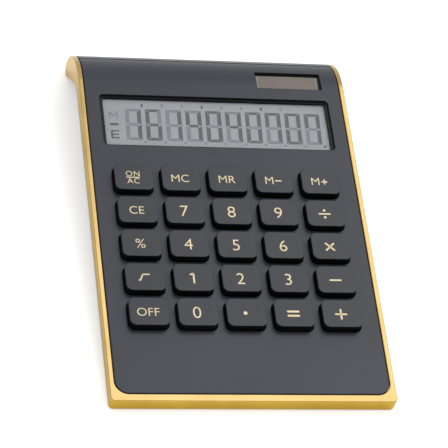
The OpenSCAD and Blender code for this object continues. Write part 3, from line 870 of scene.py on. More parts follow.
class Stock(Enum):
    """Every finish in the calculator, with the record's slot that it belongs to."""

    GOLD = (
        "gold_anodised",
        Finish(
            "anodised gold", rgb(222, 182, 60), rgb(214, 173, 50), roughness=0.24, spread=0.03,
            grain=2600, relief=0.000003, stretch=0.2, wear=0.3, worn=rgb(242, 222, 160),
            cloud=60, metallic=1.0, coat=0.15,
        ),
    )
    # Paler, less saturated copy of the gold for the frame's upward faces: a painted highlight.
    GOLD_TOP = (
        "gold_anodised",
        Finish(
            "gold top with painted highlight", rgb(190, 162, 104), rgb(182, 154, 96), roughness=0.22, spread=0.03,
            grain=2600, relief=0.000003, stretch=0.2, wear=0.3, worn=rgb(242, 228, 180),
            cloud=60, metallic=1.0, coat=0.3,
        ),
    )
    PANEL = (
        "panel_plastic",
        Finish(
            "satin panel", rgb(37, 41, 52), rgb(33, 37, 47), roughness=0.35, spread=0.03,
            grain=5200, relief=0.000008, wear=0.15, worn=rgb(112, 114, 118), cloud=22,
        ),
    )
    COVER = (
        "cover_plastic",
        Finish(
            "satin cover", rgb(40, 42, 48), rgb(36, 38, 44), roughness=0.34, spread=0.02,
            grain=2600, wear=0.3, worn=rgb(95, 97, 100), cloud=25,
        ),
    )
    # Near-black copy of the panel for its opening walls and its seam strip: painted shade.
    PANEL_WALL = (
        "panel_plastic",
        Finish(
            "panel painted shade", rgb(16, 16, 18), rgb(11, 11, 13), roughness=0.5, spread=0.05,
            grain=4200, specular=0.15,
        ),
    )
    # Darker copy of the panel for the display opening's ledge: painted shade in the recess.
    LEDGE = (
        "panel_plastic",
        Finish(
            "opening ledge painted shade", rgb(21, 22, 26), rgb(17, 18, 21), roughness=0.4, spread=0.03,
            grain=4200, specular=0.25,
        ),
    )
    KEY = (
        "key_plastic",
        Finish(
            "satin key", rgb(34, 37, 46), rgb(31, 34, 42), roughness=0.36, spread=0.03,
            grain=5600, relief=0.000007, wear=0.35, worn=rgb(140, 142, 146), cloud=40,
        ),
    )
    # Near-black copy of the key plastic for the key sides and the lower part of the top edge: painted
    # shade.
    KEY_WALL = (
        "key_plastic",
        Finish(
            "key side painted shade", rgb(12, 12, 14), rgb(8, 8, 10), roughness=0.5, spread=0.05, grain=4200,
            specular=0.12,
        ),
    )
    LEGEND = (
        "key_plastic",
        Finish(
            "legend ink", rgb(230, 212, 176), rgb(220, 200, 160), spread=0.05, grain=9000,
            relief=0.000003, wear=0.1, worn=rgb(180, 160, 118), cloud=300,
        ),
    )
    WINDOW = (
        "clear_window",
        Finish(
            "clear window", rgb(225, 228, 230), rgb(220, 224, 226), roughness=0.08, spread=0.03,
            grain=3000, relief=0.0000004, cloud=20, alpha=0.05,
        ),
    )
    GLASS = (
        "display_glass",
        Finish(
            "display glass", rgb(150, 158, 156), rgb(142, 150, 149), roughness=0.12,
            spread=0.03, grain=3500, relief=0.0000005, wear=0.1, worn=rgb(210, 214, 214),
        ),
    )
    POLARISER = (
        "display_glass",
        Finish(
            "grey polariser", rgb(150, 153, 156), rgb(144, 148, 150), roughness=0.42,
            spread=0.05, grain=6000, relief=0.000003, cloud=70, specular=0.3,
        ),
    )
    INK_ON = (
        "display_glass",
        Finish(
            "dark segment", rgb(66, 68, 76), rgb(58, 61, 68), roughness=0.4, spread=0.05,
            grain=6000, relief=0.000003, cloud=180, specular=0.3,
        ),
    )
    INK_OFF = (
        "display_glass",
        Finish(
            "faint segment", rgb(112, 116, 123), rgb(107, 111, 117), roughness=0.42,
            spread=0.05, grain=6000, relief=0.000003, cloud=180, specular=0.3,
        ),
    )
    RIBBON = (
        "ribbon_film",
        Finish(
            "ribbon film", rgb(176, 118, 52), rgb(150, 98, 42), roughness=0.3, spread=0.05,
            grain=2500, relief=0.000004, stretch=0.05, cloud=90,
        ),
    )
    SOLAR = (
        "solar_glass",
        SolarFilm(
            "solar film", rgb(103, 87, 76), rgb(96, 82, 73), roughness=0.24, spread=0.05,
            grain=4000, relief=0.000001, cloud=90, coat=0.4,
        ),
    )
    SOLAR_EDGE = (
        "solar_glass",
        Finish(
            "cell glass edge", rgb(124, 124, 112), rgb(117, 117, 106), roughness=0.22,
            spread=0.05, grain=4000, relief=0.000001, cloud=90, coat=0.3,
        ),
    )
    FOAM = (
        "black_foam",
        Finish(
            "black foam", rgb(44, 44, 46), rgb(30, 30, 32), roughness=0.9, spread=0.05,
            grain=1400, relief=0.0002, cloud=400, sheen=0.3,
        ),
    )
    RED = (
        "wire_red",
        Finish(
            "red insulation", rgb(178, 28, 24), rgb(150, 20, 20), roughness=0.4, grain=2000,
            stretch=0.1, cloud=120,
        ),
    )
    BLACK = (
        "wire_black",
        Finish(
            "black insulation", rgb(26, 26, 28), rgb(18, 18, 20), roughness=0.4, grain=2000,
            stretch=0.1, cloud=120,
        ),
    )
    BOARD = (
        "board_laminate",
        Laminate(
            "board laminate", rgb(24, 84, 44), rgb(18, 70, 38), roughness=0.3, grain=1800,
            wear=0.2, worn=rgb(150, 140, 80), cloud=40,
        ),
    )
    RESIN = (
        "black_resin",
        Finish(
            "black resin", rgb(20, 20, 22), rgb(12, 12, 14), roughness=0.22, grain=900,
            relief=0.00003, cloud=200,
        ),
    )
    CERAMIC = (
        "capacitor_ceramic",
        Finish(
            "ceramic", rgb(186, 158, 118), rgb(168, 140, 104), roughness=0.5, spread=0.05,
            wear=0.3, worn=rgb(220, 216, 205), cloud=400,
        ),
    )
    DIODE = (
        "diode_glass",
        Finish(
            "diode glass", rgb(176, 70, 44), rgb(150, 52, 34), roughness=0.12, spread=0.04,
            grain=1500, relief=0.000004, cloud=300, coat=0.5,
        ),
    )
    MAT = (
        "mat_rubber",
        Finish(
            "mat rubber", rgb(196, 196, 190), rgb(182, 182, 176), roughness=0.6, grain=3000,
            relief=0.00002, cloud=40, sheen=0.1,
        ),
    )
    CARBON = (
        "carbon_rubber",
        Finish(
            "carbon rubber", rgb(24, 24, 25), rgb(34, 34, 35), roughness=0.75, spread=0.05,
            grain=4000, relief=0.00002, cloud=300,
        ),
    )
    CELL = (
        "cell_steel",
        Finish(
            "cell steel", rgb(205, 206, 204), rgb(188, 190, 190), roughness=0.26, grain=2600,
            relief=0.000004, stretch=0.1, wear=0.3, worn=rgb(230, 230, 228), cloud=120,
            metallic=1.0,
        ),
    )
    CONTACT = (
        "contact_metal",
        Finish(
            "sprung brass", rgb(214, 178, 104), rgb(198, 160, 90), roughness=0.3, grain=2600,
            relief=0.000004, stretch=0.2, wear=0.3, worn=rgb(232, 210, 160), cloud=150,
            metallic=1.0,
        ),
    )
    SCREW = (
        "screw_steel",
        Finish(
            "screw steel", rgb(120, 120, 122), rgb(92, 92, 96), roughness=0.35, spread=0.08,
            grain=2600, wear=0.6, worn=rgb(205, 205, 205), cloud=400, metallic=1.0,
        ),
    )
    RUBBER = (
        "foot_rubber",
        Finish(
            "foot rubber", rgb(30, 30, 31), rgb(38, 38, 38), roughness=0.8, grain=2200,
            relief=0.00005, wear=0.2, worn=rgb(70, 70, 70), cloud=150,
        ),
    )

    @property
    def slot(self) -> str:
        """The record's material slot."""
        return self.value[0]

    @property
    def material(self) -> bpy.types.Material:
        """The finish's material, built the first time that it is asked for."""
        return bpy.data.materials.get(self.value[1].name) or self.value[1].make()


# ---- Frame --------------------------------------------------------------------------------------


@dataclass(frozen=True)
class Station:
    """A cut through the frame: its four corners and the way in from each of them."""

    outer_top: Vector
    inner_top: Vector
    inner_low: Vector
    outer_low: Vector
    outer_in: Vector
    inner_in: Vector
    top_in: Vector
    low_in: Vector

    @staticmethod
    def corner(point: Vector, across: Vector, down: Vector, edge: float, steps: int) -> list[Vector]:
        """Rounds one corner, from the wall onto the face.

        Args:
            point: The sharp corner.
            across: The way in from the wall.
            down: The way in from the face.
            edge: Radius of the corner.
            steps: Number of facets.

        Returns:
            The corner's points.
        """
        turns = [math.pi / 2 * i / steps for i in range(steps + 1)]
        return [point + edge * ((1 - math.cos(a)) * across + (1 - math.sin(a)) * down) for a in turns]

    def ring(
        self, outer_edge: float, inner_edge: float, low_edge: float, steps: int = 4
    ) -> list[Vector]:
        """Goes once round the cut.

        Args:
            outer_edge: Radius of the outer top edge.
            inner_edge: Radius of the inner top edge.
            low_edge: Radius of the lower edges.
            steps: Number of facets at each corner.

        Returns:
            The cut's points.
        """
        points = self.corner(self.outer_low, self.outer_in, self.low_in, low_edge, steps)[::-1]
        points += self.corner(self.outer_top, self.outer_in, self.top_in, outer_edge, steps)
        points += self.corner(self.inner_top, self.inner_in, self.top_in, inner_edge, steps)[::-1]
        points += self.corner(self.inner_low, self.inner_in, self.low_in, low_edge, steps)
        return points


@dataclass
class GoldFrame:
    """Anodised frame: two cheeks that end in the foot, joined by a bar across the front."""

    layout: Layout
    outer_r: float = 1.75
    outer_edge: float = 0.45
    inner_edge: float = 0.3
    low_edge: float = 0.25
    lip_top: float = -2.2
    lip_t: float = 1.0
    lip_reach: float = 2.0
    lip_bed: float = 0.2
    lip_edge: float = 0.1
    pin_r: float = 1.2
    pin_depth: float = 5.0
    pin_angle: float = 40.0
    pin_l: float = 1.5
    pin_bed: float = 0.1
    pin_edge: float = 0.15
    pin_sides: int = 24
    band_cosine: float = 0.6
    band_drop: float = 0.3
    corner_steps: int = 12
    curl_steps: int = 34
    toe_steps: int = 6
    neck_steps: int = 3

    def flat_station(
        self, outer: Point, inner: Point, way_in: Vector, top: float, low: float
    ) -> Station:
        """Makes a cut where the frame is flat.

        Args:
            outer: X and Y of the outer wall.
            inner: X and Y of the inner wall.
            way_in: The way in from the outer wall.
            top: Height of the top.
            low: Height of the underside.

        Returns:
            The station.
        """
        up = Vector((0, 0, 1))
        return Station(
            Vector((*outer, top)), Vector((*inner, top)), Vector((*inner, low)), Vector((*outer, low)),
            way_in, -way_in, -up, up,
        )

    def front_run(
        self, outer: TrayOutline, inner: TrayOutline, back: Sequence[float], top: float, low: float
    ) -> list[Station]:
        """Follows the frame from its left cheek round the front to its right cheek.

        Args:
            outer: Outline of the outer wall.
            inner: Outline of the inner wall.
            back: Places along a cheek, from its back to its front corner.
            top: Height of the top.
            low: Height of the underside.

        Returns:
            The stations, in order.
        """
        right = Vector((1, 0, 0))
        half_out, half_in = outer.half, inner.half
        run = [self.flat_station((-half_out, y), (-half_in, y), right, top, low) for y in back]
        count = 2 * (self.corner_steps + 1)
        turns = [math.pi / 2 * i / self.corner_steps for i in range(self.corner_steps + 1)]
        ways = [Vector((math.cos(a), math.sin(a), 0)) for a in turns]
        ways += [Vector((-math.sin(a), math.cos(a), 0)) for a in turns]
        corners = zip(outer.loop()[:count], inner.loop()[:count], ways)
        run += [self.flat_station(out, inside, way, top, low) for out, inside, way in corners]
        back = reversed(back)
        run += [self.flat_station((half_out, y), (half_in, y), -right, top, low) for y in back]
        return run

    def ground_height(self, y: float, height: float) -> float:
        """Finds the panel height of a level line above the table at a place up the panel."""
        tilt = self.layout.tilt
        return (height * MM - (PLACE @ Vector((0, 0, 0))).z) / MM / math.cos(tilt) - y * math.tan(tilt)

    def foot_path(self) -> tuple[list[tuple[Vector, Vector]], list[tuple[Vector, Vector]]]:
        """Draws the side of the foot: its round back and its sloping front.

        Returns:
            Points and ways in along the back, and as many along the front, as Y and Z.
        """
        lay, tilt = self.layout, self.layout.tilt
        centre = Vector((lay.flat_l, -lay.curl_r))
        up, level = Vector((math.sin(tilt), math.cos(tilt))), Vector((math.cos(tilt), -math.sin(tilt)))
        ground = Vector((lay.flat_l, self.ground_height(lay.flat_l, lay.frame_clear)))
        rise = (ground - centre).dot(up) + lay.toe_r
        reach = lay.curl_r - lay.toe_r
        toe = centre + rise * up + math.sqrt(reach**2 - rise**2) * level
        out = (toe - centre).normalized()
        last = math.atan2(out.x, out.y)
        back = []
        for i in range(self.curl_steps + 1):
            way = Vector((math.sin(last * i / self.curl_steps), math.cos(last * i / self.curl_steps)))
            back.append((centre + lay.curl_r * way, -way))
        turn = out.angle_signed(-up)
        for i in range(1, self.toe_steps + 1):
            way = Matrix.Rotation(-turn * i / self.toe_steps, 2) @ out
            back.append((toe + lay.toe_r * way, -way))
        slope = math.radians(lay.slope)
        drop = lay.curl_r - lay.foot_depth - (lay.curl_r - lay.depth) * math.cos(slope)
        notch = Vector((lay.flat_l + drop / math.sin(slope), -lay.depth))
        run = (notch.y - self.ground_height(notch.x, lay.frame_clear)) / (1 - math.tan(tilt))
        heel = notch + Vector((run, -run))
        face_in = Vector((math.sin(slope), math.cos(slope)))
        mitre = (face_in + Vector((0, 1))) / (1 + face_in.y)
        start = Vector((lay.flat_l, -lay.depth))
        neck = self.neck_steps
        front = [(start.lerp(notch, i / neck), Vector((0, 1))) for i in range(neck)] + [(notch, mitre)]
        left = len(back) - len(front)
        front += [(notch.lerp(heel, i / left), face_in) for i in range(1, left + 1)]
        return back, front

    def foot_run(self, side: float) -> list[Station]:
        """Follows one cheek from the start of the curl to the toe.

        Args:
            side: -1 for the left cheek and 1 for the right one.

        Returns:
            The stations, in order.
        """
        way_in = Vector((-side, 0, 0))
        outer, inner = side * self.layout.outer_half, side * self.layout.inner_half
        run = []
        for (top, top_in), (low, low_in) in zip(*self.foot_path()):
            run.append(Station(
                Vector((outer, *top)), Vector((inner, *top)),
                Vector((inner, *low)), Vector((outer, *low)),
                way_in, -way_in, Vector((0, *top_in)), Vector((0, *low_in)),
            ))
        return run

    def sweep(
        self, shell: Shell, stations: Sequence[Station], edges: tuple[float, float, float]
    ) -> None:
        """Joins the stations into one closed skin.

        Args:
            shell: The shell that the skin goes into.
            stations: The stations, in order.
            edges: Radii of the outer, inner and lower edges.
        """
        shell.plugged([station.ring(*edges) for station in stations])

    def build(self) -> bpy.types.Object:
        """Builds the frame with its inner lip and its two locating pins.

        Returns:
            The frame.
        """
        lay, shell = self.layout, Shell()
        steps, inner_r = self.corner_steps, lay.panel_r + lay.panel_gap
        outer = TrayOutline(lay.outer_half, -lay.bar_w, lay.flat_l, self.outer_r, steps=steps)
        inner = TrayOutline(lay.inner_half, 0, lay.flat_l, inner_r, steps=steps)
        cuts = [lay.flat_l * share for share in (1, 0.97, 0.75, 0.5, 0.25, 0.07)]
        run = self.foot_run(-1)[:0:-1]
        run += self.front_run(outer, inner, cuts, 0, -lay.depth)
        run += self.foot_run(1)[1:]
        self.sweep(shell, run, (self.outer_edge, self.inner_edge, self.low_edge))
        lip = TrayOutline(lay.inner_half - self.lip_reach, self.lip_reach, 0, inner_r - self.lip_reach)
        wall = TrayOutline(lay.inner_half + self.lip_bed, -self.lip_bed, 0, inner_r + self.lip_bed)
        cuts = [lay.flat_l - 4, lay.flat_l / 2, 8]
        lip_run = self.front_run(wall, lip, cuts, self.lip_top, self.lip_top - self.lip_t)
        self.sweep(shell, lip_run, (self.lip_edge,) * 3)
        bmesh.ops.recalc_face_normals(shell.bm, faces=shell.bm.faces[:])
        # The upward faces get the paler gold: a painted highlight along the frame's top.
        shell.tint(1, self.is_on_top)
        for side in (-1, 1):
            self.add_pin(shell, side)
        finishes = [Stock.GOLD.material, Stock.GOLD_TOP.material]
        return shell.piece("frame_gold", finishes, Stock.GOLD.slot, replaces=["gold_frame"])

    def add_pin(self, shell: Shell, side: float) -> None:
        """Adds the pin inside one cheek that holds the panel's curl in place.

        Args:
            shell: The shell that the pin goes into.
            side: -1 for the left cheek and 1 for the right one.
        """
        lay, angle = self.layout, math.radians(self.pin_angle)
        reach = lay.curl_r - self.pin_depth
        y, z = lay.flat_l + reach * math.sin(angle), reach * math.cos(angle) - lay.curl_r
        turns = [2 * math.pi * i / self.pin_sides for i in range(self.pin_sides)]
        profile = (
            (-self.pin_bed, self.pin_r),
            (self.pin_l - self.pin_edge, self.pin_r),
            (self.pin_l, self.pin_r - self.pin_edge),
        )
        shell.plugged([
            [(side * (lay.inner_half - out), y + r * math.cos(a), z + r * math.sin(a)) for a in turns]
            for out, r in profile
        ])

    def is_on_top(self, face: bmesh.types.BMFace) -> bool:
        """Tells whether a face belongs to the band along the frame's top that gets the paler gold, a
        painted highlight.
        """
        lay, centre = self.layout, face.calc_center_median()
        out = Vector((0, 0, 1))
        if centre.y > lay.flat_l:
            out = Vector((0, centre.y - lay.flat_l, centre.z + lay.curl_r))
        is_upper = centre.z + lay.curl_r > -self.band_drop * lay.curl_r
        return face.normal.dot(out.normalized()) > self.band_cosine and is_upper


# ---- Front panel --------------------------------------------------------------------------------


@dataclass
class FrontPanel:
    """Dark panel with key holes, a stepped display opening and a solar window, curled at its back."""

    layout: Layout
    edge: float = 0.35
    hole_edge: float = 0.25
    rim_t: float = 1.2
    skirt: float = 2.2
    ledge_depth: float = 1.0
    ledge_x: float = 1.15
    ledge_y: float = 0.8
    ledge_edge: float = 0.12
    view_edge: float = 0.1
    display_r: float = 1.6
    display_rim: float = 1.2
    display_depth: float = 1.95
    view_r: float = 0.8
    solar_w: float = 25.8
    solar_l: float = 8.5
    solar_inset: float = 1.55
    solar_setback: float = 1.2
    solar_depth: float = 2.4
    solar_r: float = 0.3
    solar_step: float = 0.3
    solar_ledge: float = 1.2
    solar_rim: float = 1.6
    skirt_end: float = 3.0
    shut_w: float = 0.7
    shut_depth: float = 0.25
    seam_w: float = 0.03
    tongue_inset: float = 0.5
    tongue_turn: float = 7.0
    tongue_gap: float = 0.1
    tongue_t: float = 0.9
    post_r: float = 1.9
    post_l: float = 1.0
    post_bed: float = 0.2
    post_inset: float = 4.1
    screw_r: float = 0.82
    stake_r: float = 0.75
    stake_low: float = -4.0
    post_front: float = 17.0
    post_middle: float = 6.0
    post_back: float = 2.8

    @property
    def display(self) -> RoundRect:
        """The display opening at the panel's face."""
        lay = self.layout
        y = lay.display_y + lay.display_l / 2
        return RoundRect(0, y, lay.display_w, lay.display_l, self.display_r)

    @property
    def view(self) -> RoundRect:
        """The opening that the display is seen through, inside the ledge."""
        face = self.display
        return RoundRect(0, face.y, face.w - 2 * self.ledge_x, face.l - 2 * self.ledge_y, self.view_r)

    @property
    def solar(self) -> RoundRect:
        """The solar window."""
        lay = self.layout
        x = lay.display_w / 2 - self.solar_inset - self.solar_w / 2
        y = lay.flat_l - self.solar_setback + self.solar_l / 2
        return RoundRect(x, y, self.solar_w, self.solar_l, self.solar_r)

    def skin_rings(self) -> list[Ring]:
        """Draws the panel's edge, from its underside round its skirt to its face.

        Returns:
            The rings, in order.
        """
        lay, skirt_back = self.layout, self.layout.flat_l - self.skirt_end
        stops = (skirt_back, skirt_back + 0.02)
        outline = TrayOutline(lay.panel_half, lay.panel_gap, lay.seam_l, lay.panel_r, stops)

        def hang(loop: Loop) -> Ring:
            """Hangs a loop at the skirt's lower edge, or at the underside where there is no skirt."""
            return [(x, y, -self.skirt if y <= skirt_back else -lay.panel_t) for x, y in loop]

        inside = outline.loop(-self.rim_t)
        return [at_height(inside, -lay.panel_t), hang(inside), hang(outline.loop())] + rolled(
            outline, 0, self.edge, Side.INSIDE
        )

    def recess_rings(
        self, upper: RoundRect, lower: RoundRect, rim: float, ledge: float, depth: float
    ) -> list[Ring]:
        """Draws a stepped opening with a thickened rim behind it.

        Args:
            upper: Outline at the panel's face.
            lower: Outline below the ledge.
            rim: How far the rim reaches past the upper outline.
            ledge: Depth of the ledge.
            depth: Depth of the rim.

        Returns:
            The rings, from the face to the underside.
        """
        return rolled(upper, 0, self.hole_edge, Side.OUTSIDE)[::-1] + [
            at_height(upper.loop(), self.ledge_edge - ledge),
            at_height(upper.loop(-self.ledge_edge), -ledge),
            at_height(lower.loop(self.view_edge), -ledge),
            at_height(lower.loop(), -self.view_edge - ledge),
            at_height(lower.loop(), -depth),
            at_height(upper.loop(rim), -depth),
            at_height(upper.loop(rim), -self.layout.panel_t),
        ]

    def build(self) -> bpy.types.Object:
        """Builds the panel with its posts, staked pins and seam tongue.

        Returns:
            The panel.
        """
        lay, shell = self.layout, Shell()
        under, face = shell.stack(self.skin_rings())
        faces, unders = [face], [under]
        openings = []
        for place in lay.key_places():
            hole = RoundRect(*place, lay.key_w, lay.key_l, lay.key_r).grown(lay.key_gap)
            rings = rolled(hole, 0, self.hole_edge, Side.OUTSIDE)[::-1]
            openings.append(rings + [at_height(hole.loop(), -lay.panel_t)])
        display_sizes = (self.display_rim, self.ledge_depth, self.display_depth)
        solar_sizes = (self.solar_rim, self.solar_ledge, self.solar_depth)
        solar = self.solar
        solar_low = replace(solar, w=solar.w - self.solar_step, l=solar.l - self.solar_step)
        openings.append(self.recess_rings(self.display, self.view, *display_sizes))
        openings.append(self.recess_rings(solar, solar_low, *solar_sizes))
        for rings in openings:
            # The openings' rolled edges and walls get the near-black finish: painted shade in the holes
            # and recesses.
            first, last = shell.stack(rings, 1)
            faces.append(first)
            unders.append(last)
        shell.fill(faces)
        shell.fill(unders)
        # The display ledge gets the darker copy of the panel: painted shade.
        level = -self.ledge_depth
        shell.tint(2, lambda face: all(abs(vert.co.z - level) < 1e-4 for vert in face.verts))
        self.cut_shut_line(shell)
        self.add_tongue(shell)
        shell.curl(lay)
        self.add_posts(shell)
        finishes = [stock.material for stock in (Stock.PANEL, Stock.PANEL_WALL, Stock.LEDGE)]
        return shell.piece("panel_dark", finishes, Stock.PANEL.slot, replaces=["front_panel"])

    def cut_shut_line(self, shell: Shell) -> None:
        """Sinks the panel's back edge a little and paints a strip along it near-black, as painted
        shade, so that its joint with the cover reads as a line.
        """
        start = self.layout.seam_l - self.shut_w
        shell.cut_across([start - self.seam_w, start])
        for vert in shell.bm.verts:
            if vert.co.y > start - 1e-3:
                vert.co.z = min(vert.co.z, -self.shut_depth)
        painted_shade_from = start - self.seam_w - 0.01
        # Painted shade: the strip along the seam gets the near-black finish.
        shell.tint(1, lambda face: all(vert.co.y > painted_shade_from for vert in face.verts))

    def add_tongue(self, shell: Shell) -> None:
        """Adds the tongue that slips under the rear cover at the seam."""
        lay = self.layout
        half = lay.panel_half - self.rim_t - self.tongue_inset
        length = math.radians(self.tongue_turn) * lay.curl_r
        strip = RoundRect(0, lay.seam_l, 2 * half, length, 0.3, steps=2)
        top = -lay.panel_t - self.tongue_gap
        shell.block(strip, top - self.tongue_t, top, 0.1)

    def add_posts(self, shell: Shell) -> None:
        """Adds the six screw posts and the four pins that hold the board."""
        lay = self.layout
        low, top = -self.skirt - self.post_l, self.post_bed - lay.panel_t
        bore = [(self.post_r, top), (self.post_r, low), (self.screw_r, low), (self.screw_r, top)]
        middle = (lay.front_margin + lay.keys_top) / 2
        front, back = lay.front_margin - self.post_front, lay.keys_top + self.post_back
        for y in (front, middle - self.post_middle, back):
            for side in (-1, 1):
                shell.turned(side * (lay.inner_half - self.post_inset), y, bore)
        end = self.stake_low
        pin = [(AXIS_R, top), (self.stake_r, top), (self.stake_r, end), (AXIS_R, end - 0.05)]
        for x, y in lay.stake_places():
            shell.turned(x, y, pin)


# ---- Keys ---------------------------------------------------------------------------------------


@dataclass(frozen=True)
class Words:
    """Printed letters or digits."""

    text: str
    height: float
    rise: float = 0.0
    gap: float = 1.0
    shift: float = 0.0


@dataclass(frozen=True)
class Stroke:
    """A printed line through a few points, round at its ends and bends."""

    points: tuple[tuple[float, float], ...]
    width: float = 0.72


DIGIT_H = 4.75
LETTER_H = 3.3
BAR = Stroke(((-2.0, 0), (2.0, 0)))
LEGENDS: dict[str, tuple] = {
    "key_on_ac": (
        Words("ON", 2.3, 1.65, 1.1),
        Words("AC", 2.3, -1.65, 1.1),
        Stroke(((-2.4, 0), (2.4, 0)), 0.4),
    ),
    "key_mc": (Words("MC", LETTER_H),),
    "key_mr": (Words("MR", LETTER_H),),
    "key_m_minus": (Words("M", LETTER_H, shift=-1.6), Stroke(((0.9, -0.1), (2.9, -0.1)), 0.6)),
    "key_m_plus": (
        Words("M", LETTER_H, shift=-1.6),
        Stroke(((1.0, -0.1), (2.9, -0.1)), 0.55),
        Stroke(((1.95, -1.05), (1.95, 0.85)), 0.55),
    ),
    "key_1": (Stroke(((-0.75, 1.55), (0.4, 2.05), (0.4, -2.05)), 0.66),),
    "key_ce": (Words("CE", LETTER_H),),
    "key_divide": (BAR, Stroke(((0, 1.55), (0, 1.6)), 1.05), Stroke(((0, -1.6), (0, -1.55)), 1.05)),
    "key_percent": (Words("%", 3.9),),
    "key_multiply": (Stroke(((-1.5, -1.5), (1.5, 1.5))), Stroke(((-1.5, 1.5), (1.5, -1.5)))),
    "key_root": (Stroke(((-2.0, -1.1), (-1.55, -1.35), (-0.5, 1.35), (1.9, 1.35)), 0.55),),
    "key_subtract": (BAR,),
    "key_off": (Words("OFF", LETTER_H),),
    "key_point": (Stroke(((0, 0), (0.02, 0)), 1.5),),
    "key_equals": (
        Stroke(((-1.95, 0.92), (1.95, 0.92)), 0.85),
        Stroke(((-1.95, -0.92), (1.95, -0.92)), 0.85),
    ),
    "key_add": (BAR, Stroke(((0, -2.0), (0, 2.0)))),
}
KEYS = (
    "key_on_ac", "key_mc", "key_mr", "key_m_minus", "key_m_plus",
    "key_ce", "key_7", "key_8", "key_9", "key_divide",
    "key_percent", "key_4", "key_5", "key_6", "key_multiply",
    "key_root", "key_1", "key_2", "key_3", "key_subtract",
    "key_off", "key_0", "key_point", "key_equals", "key_add",
)


@dataclass
class Printer:
    """Lays printed marks on a flat face as thin raised ink."""

    thickness: float = 0.03
    sink: float = 0.01
    weight: float = -0.006
    end_steps: int = 8

    def cap_height(self) -> float:
        """Height of a capital in the plain typeface at size one."""
        return self.glyphs("H", 1.0).height

    def glyphs(self, text: str, gap: float) -> "Glyphs":
        """Sets a text in the plain typeface, at size one.

        Args:
            text: The text.
            gap: Spacing between letters, 1 as the typeface has it.

        Returns:
            The text's mesh and its extent.
        """
        curve = bpy.data.curves.new("type", "FONT")
        curve.body, curve.space_character, curve.offset = text, gap, self.weight
        curve.extrude, curve.resolution_u = 0.5, 6
        holder = bpy.data.objects.new("type", curve)
        bpy.context.scene.collection.objects.link(holder)
        bpy.context.view_layer.update()
        mesh = bpy.data.meshes.new_from_object(holder)
        bpy.data.objects.remove(holder)
        bpy.data.curves.remove(curve)
        return Glyphs(mesh)

    def words(self, shell: Shell, words: Words, x: float, y: float, top: float) -> None:
        """Prints letters or digits, centred on a point.

        Args:
            shell: The shell that they go into.
            words: What is printed.
            x: X of the centre.
            y: Y of the centre.
            top: Height of the face.
        """
        size = words.height / self.cap_height()
        glyphs = self.glyphs(words.text, words.gap)
        middle = Vector((glyphs.centre_x, self.cap_height() / 2, 0))
        height = self.thickness + self.sink
        scale = Matrix.Diagonal((size, size, height, 1))
        centre = (x + words.shift, y + words.rise, top - self.sink + height / 2)
        place = Matrix.Translation(centre) @ scale @ Matrix.Translation(-middle)
        glyphs.mesh.transform(place)
        shell.bm.from_mesh(glyphs.mesh)
        bpy.data.meshes.remove(glyphs.mesh)

    def stroke(self, shell: Shell, stroke: Stroke, x: float, y: float, top: float) -> None:
        """Prints a line with round ends and bends.

        Args:
            shell: The shell that it goes into.
            stroke: The line.
            x: X of its centre.
            y: Y of its centre.
            top: Height of the face.
        """
        low, high = top - self.sink, top + self.thickness
        for start, end in zip(stroke.points, stroke.points[1:]):
            a, b = Vector(start), Vector(end)
            along, r = (b - a).normalized(), stroke.width / 2
            turn = math.atan2(along.y, along.x)
            loop = []
            for centre, first in ((b, -math.pi / 2), (a, math.pi / 2)):
                for i in range(self.end_steps + 1):
                    angle = turn + first + math.pi * i / self.end_steps
                    point = (x + centre.x + r * math.cos(angle), y + centre.y + r * math.sin(angle))
                    loop.append(point)
            shell.capped([at_height(loop, low), at_height(loop, high)])


class Glyphs:
    """A set text and its extent."""

    def __init__(self, mesh: bpy.types.Mesh) -> None:
        """Measures the mesh of a set text."""
        self.mesh = mesh
        xs, ys = [v.co.x for v in mesh.vertices], [v.co.y for v in mesh.vertices]
        self.centre_x = (min(xs) + max(xs)) / 2
        self.height = max(ys) - min(ys)


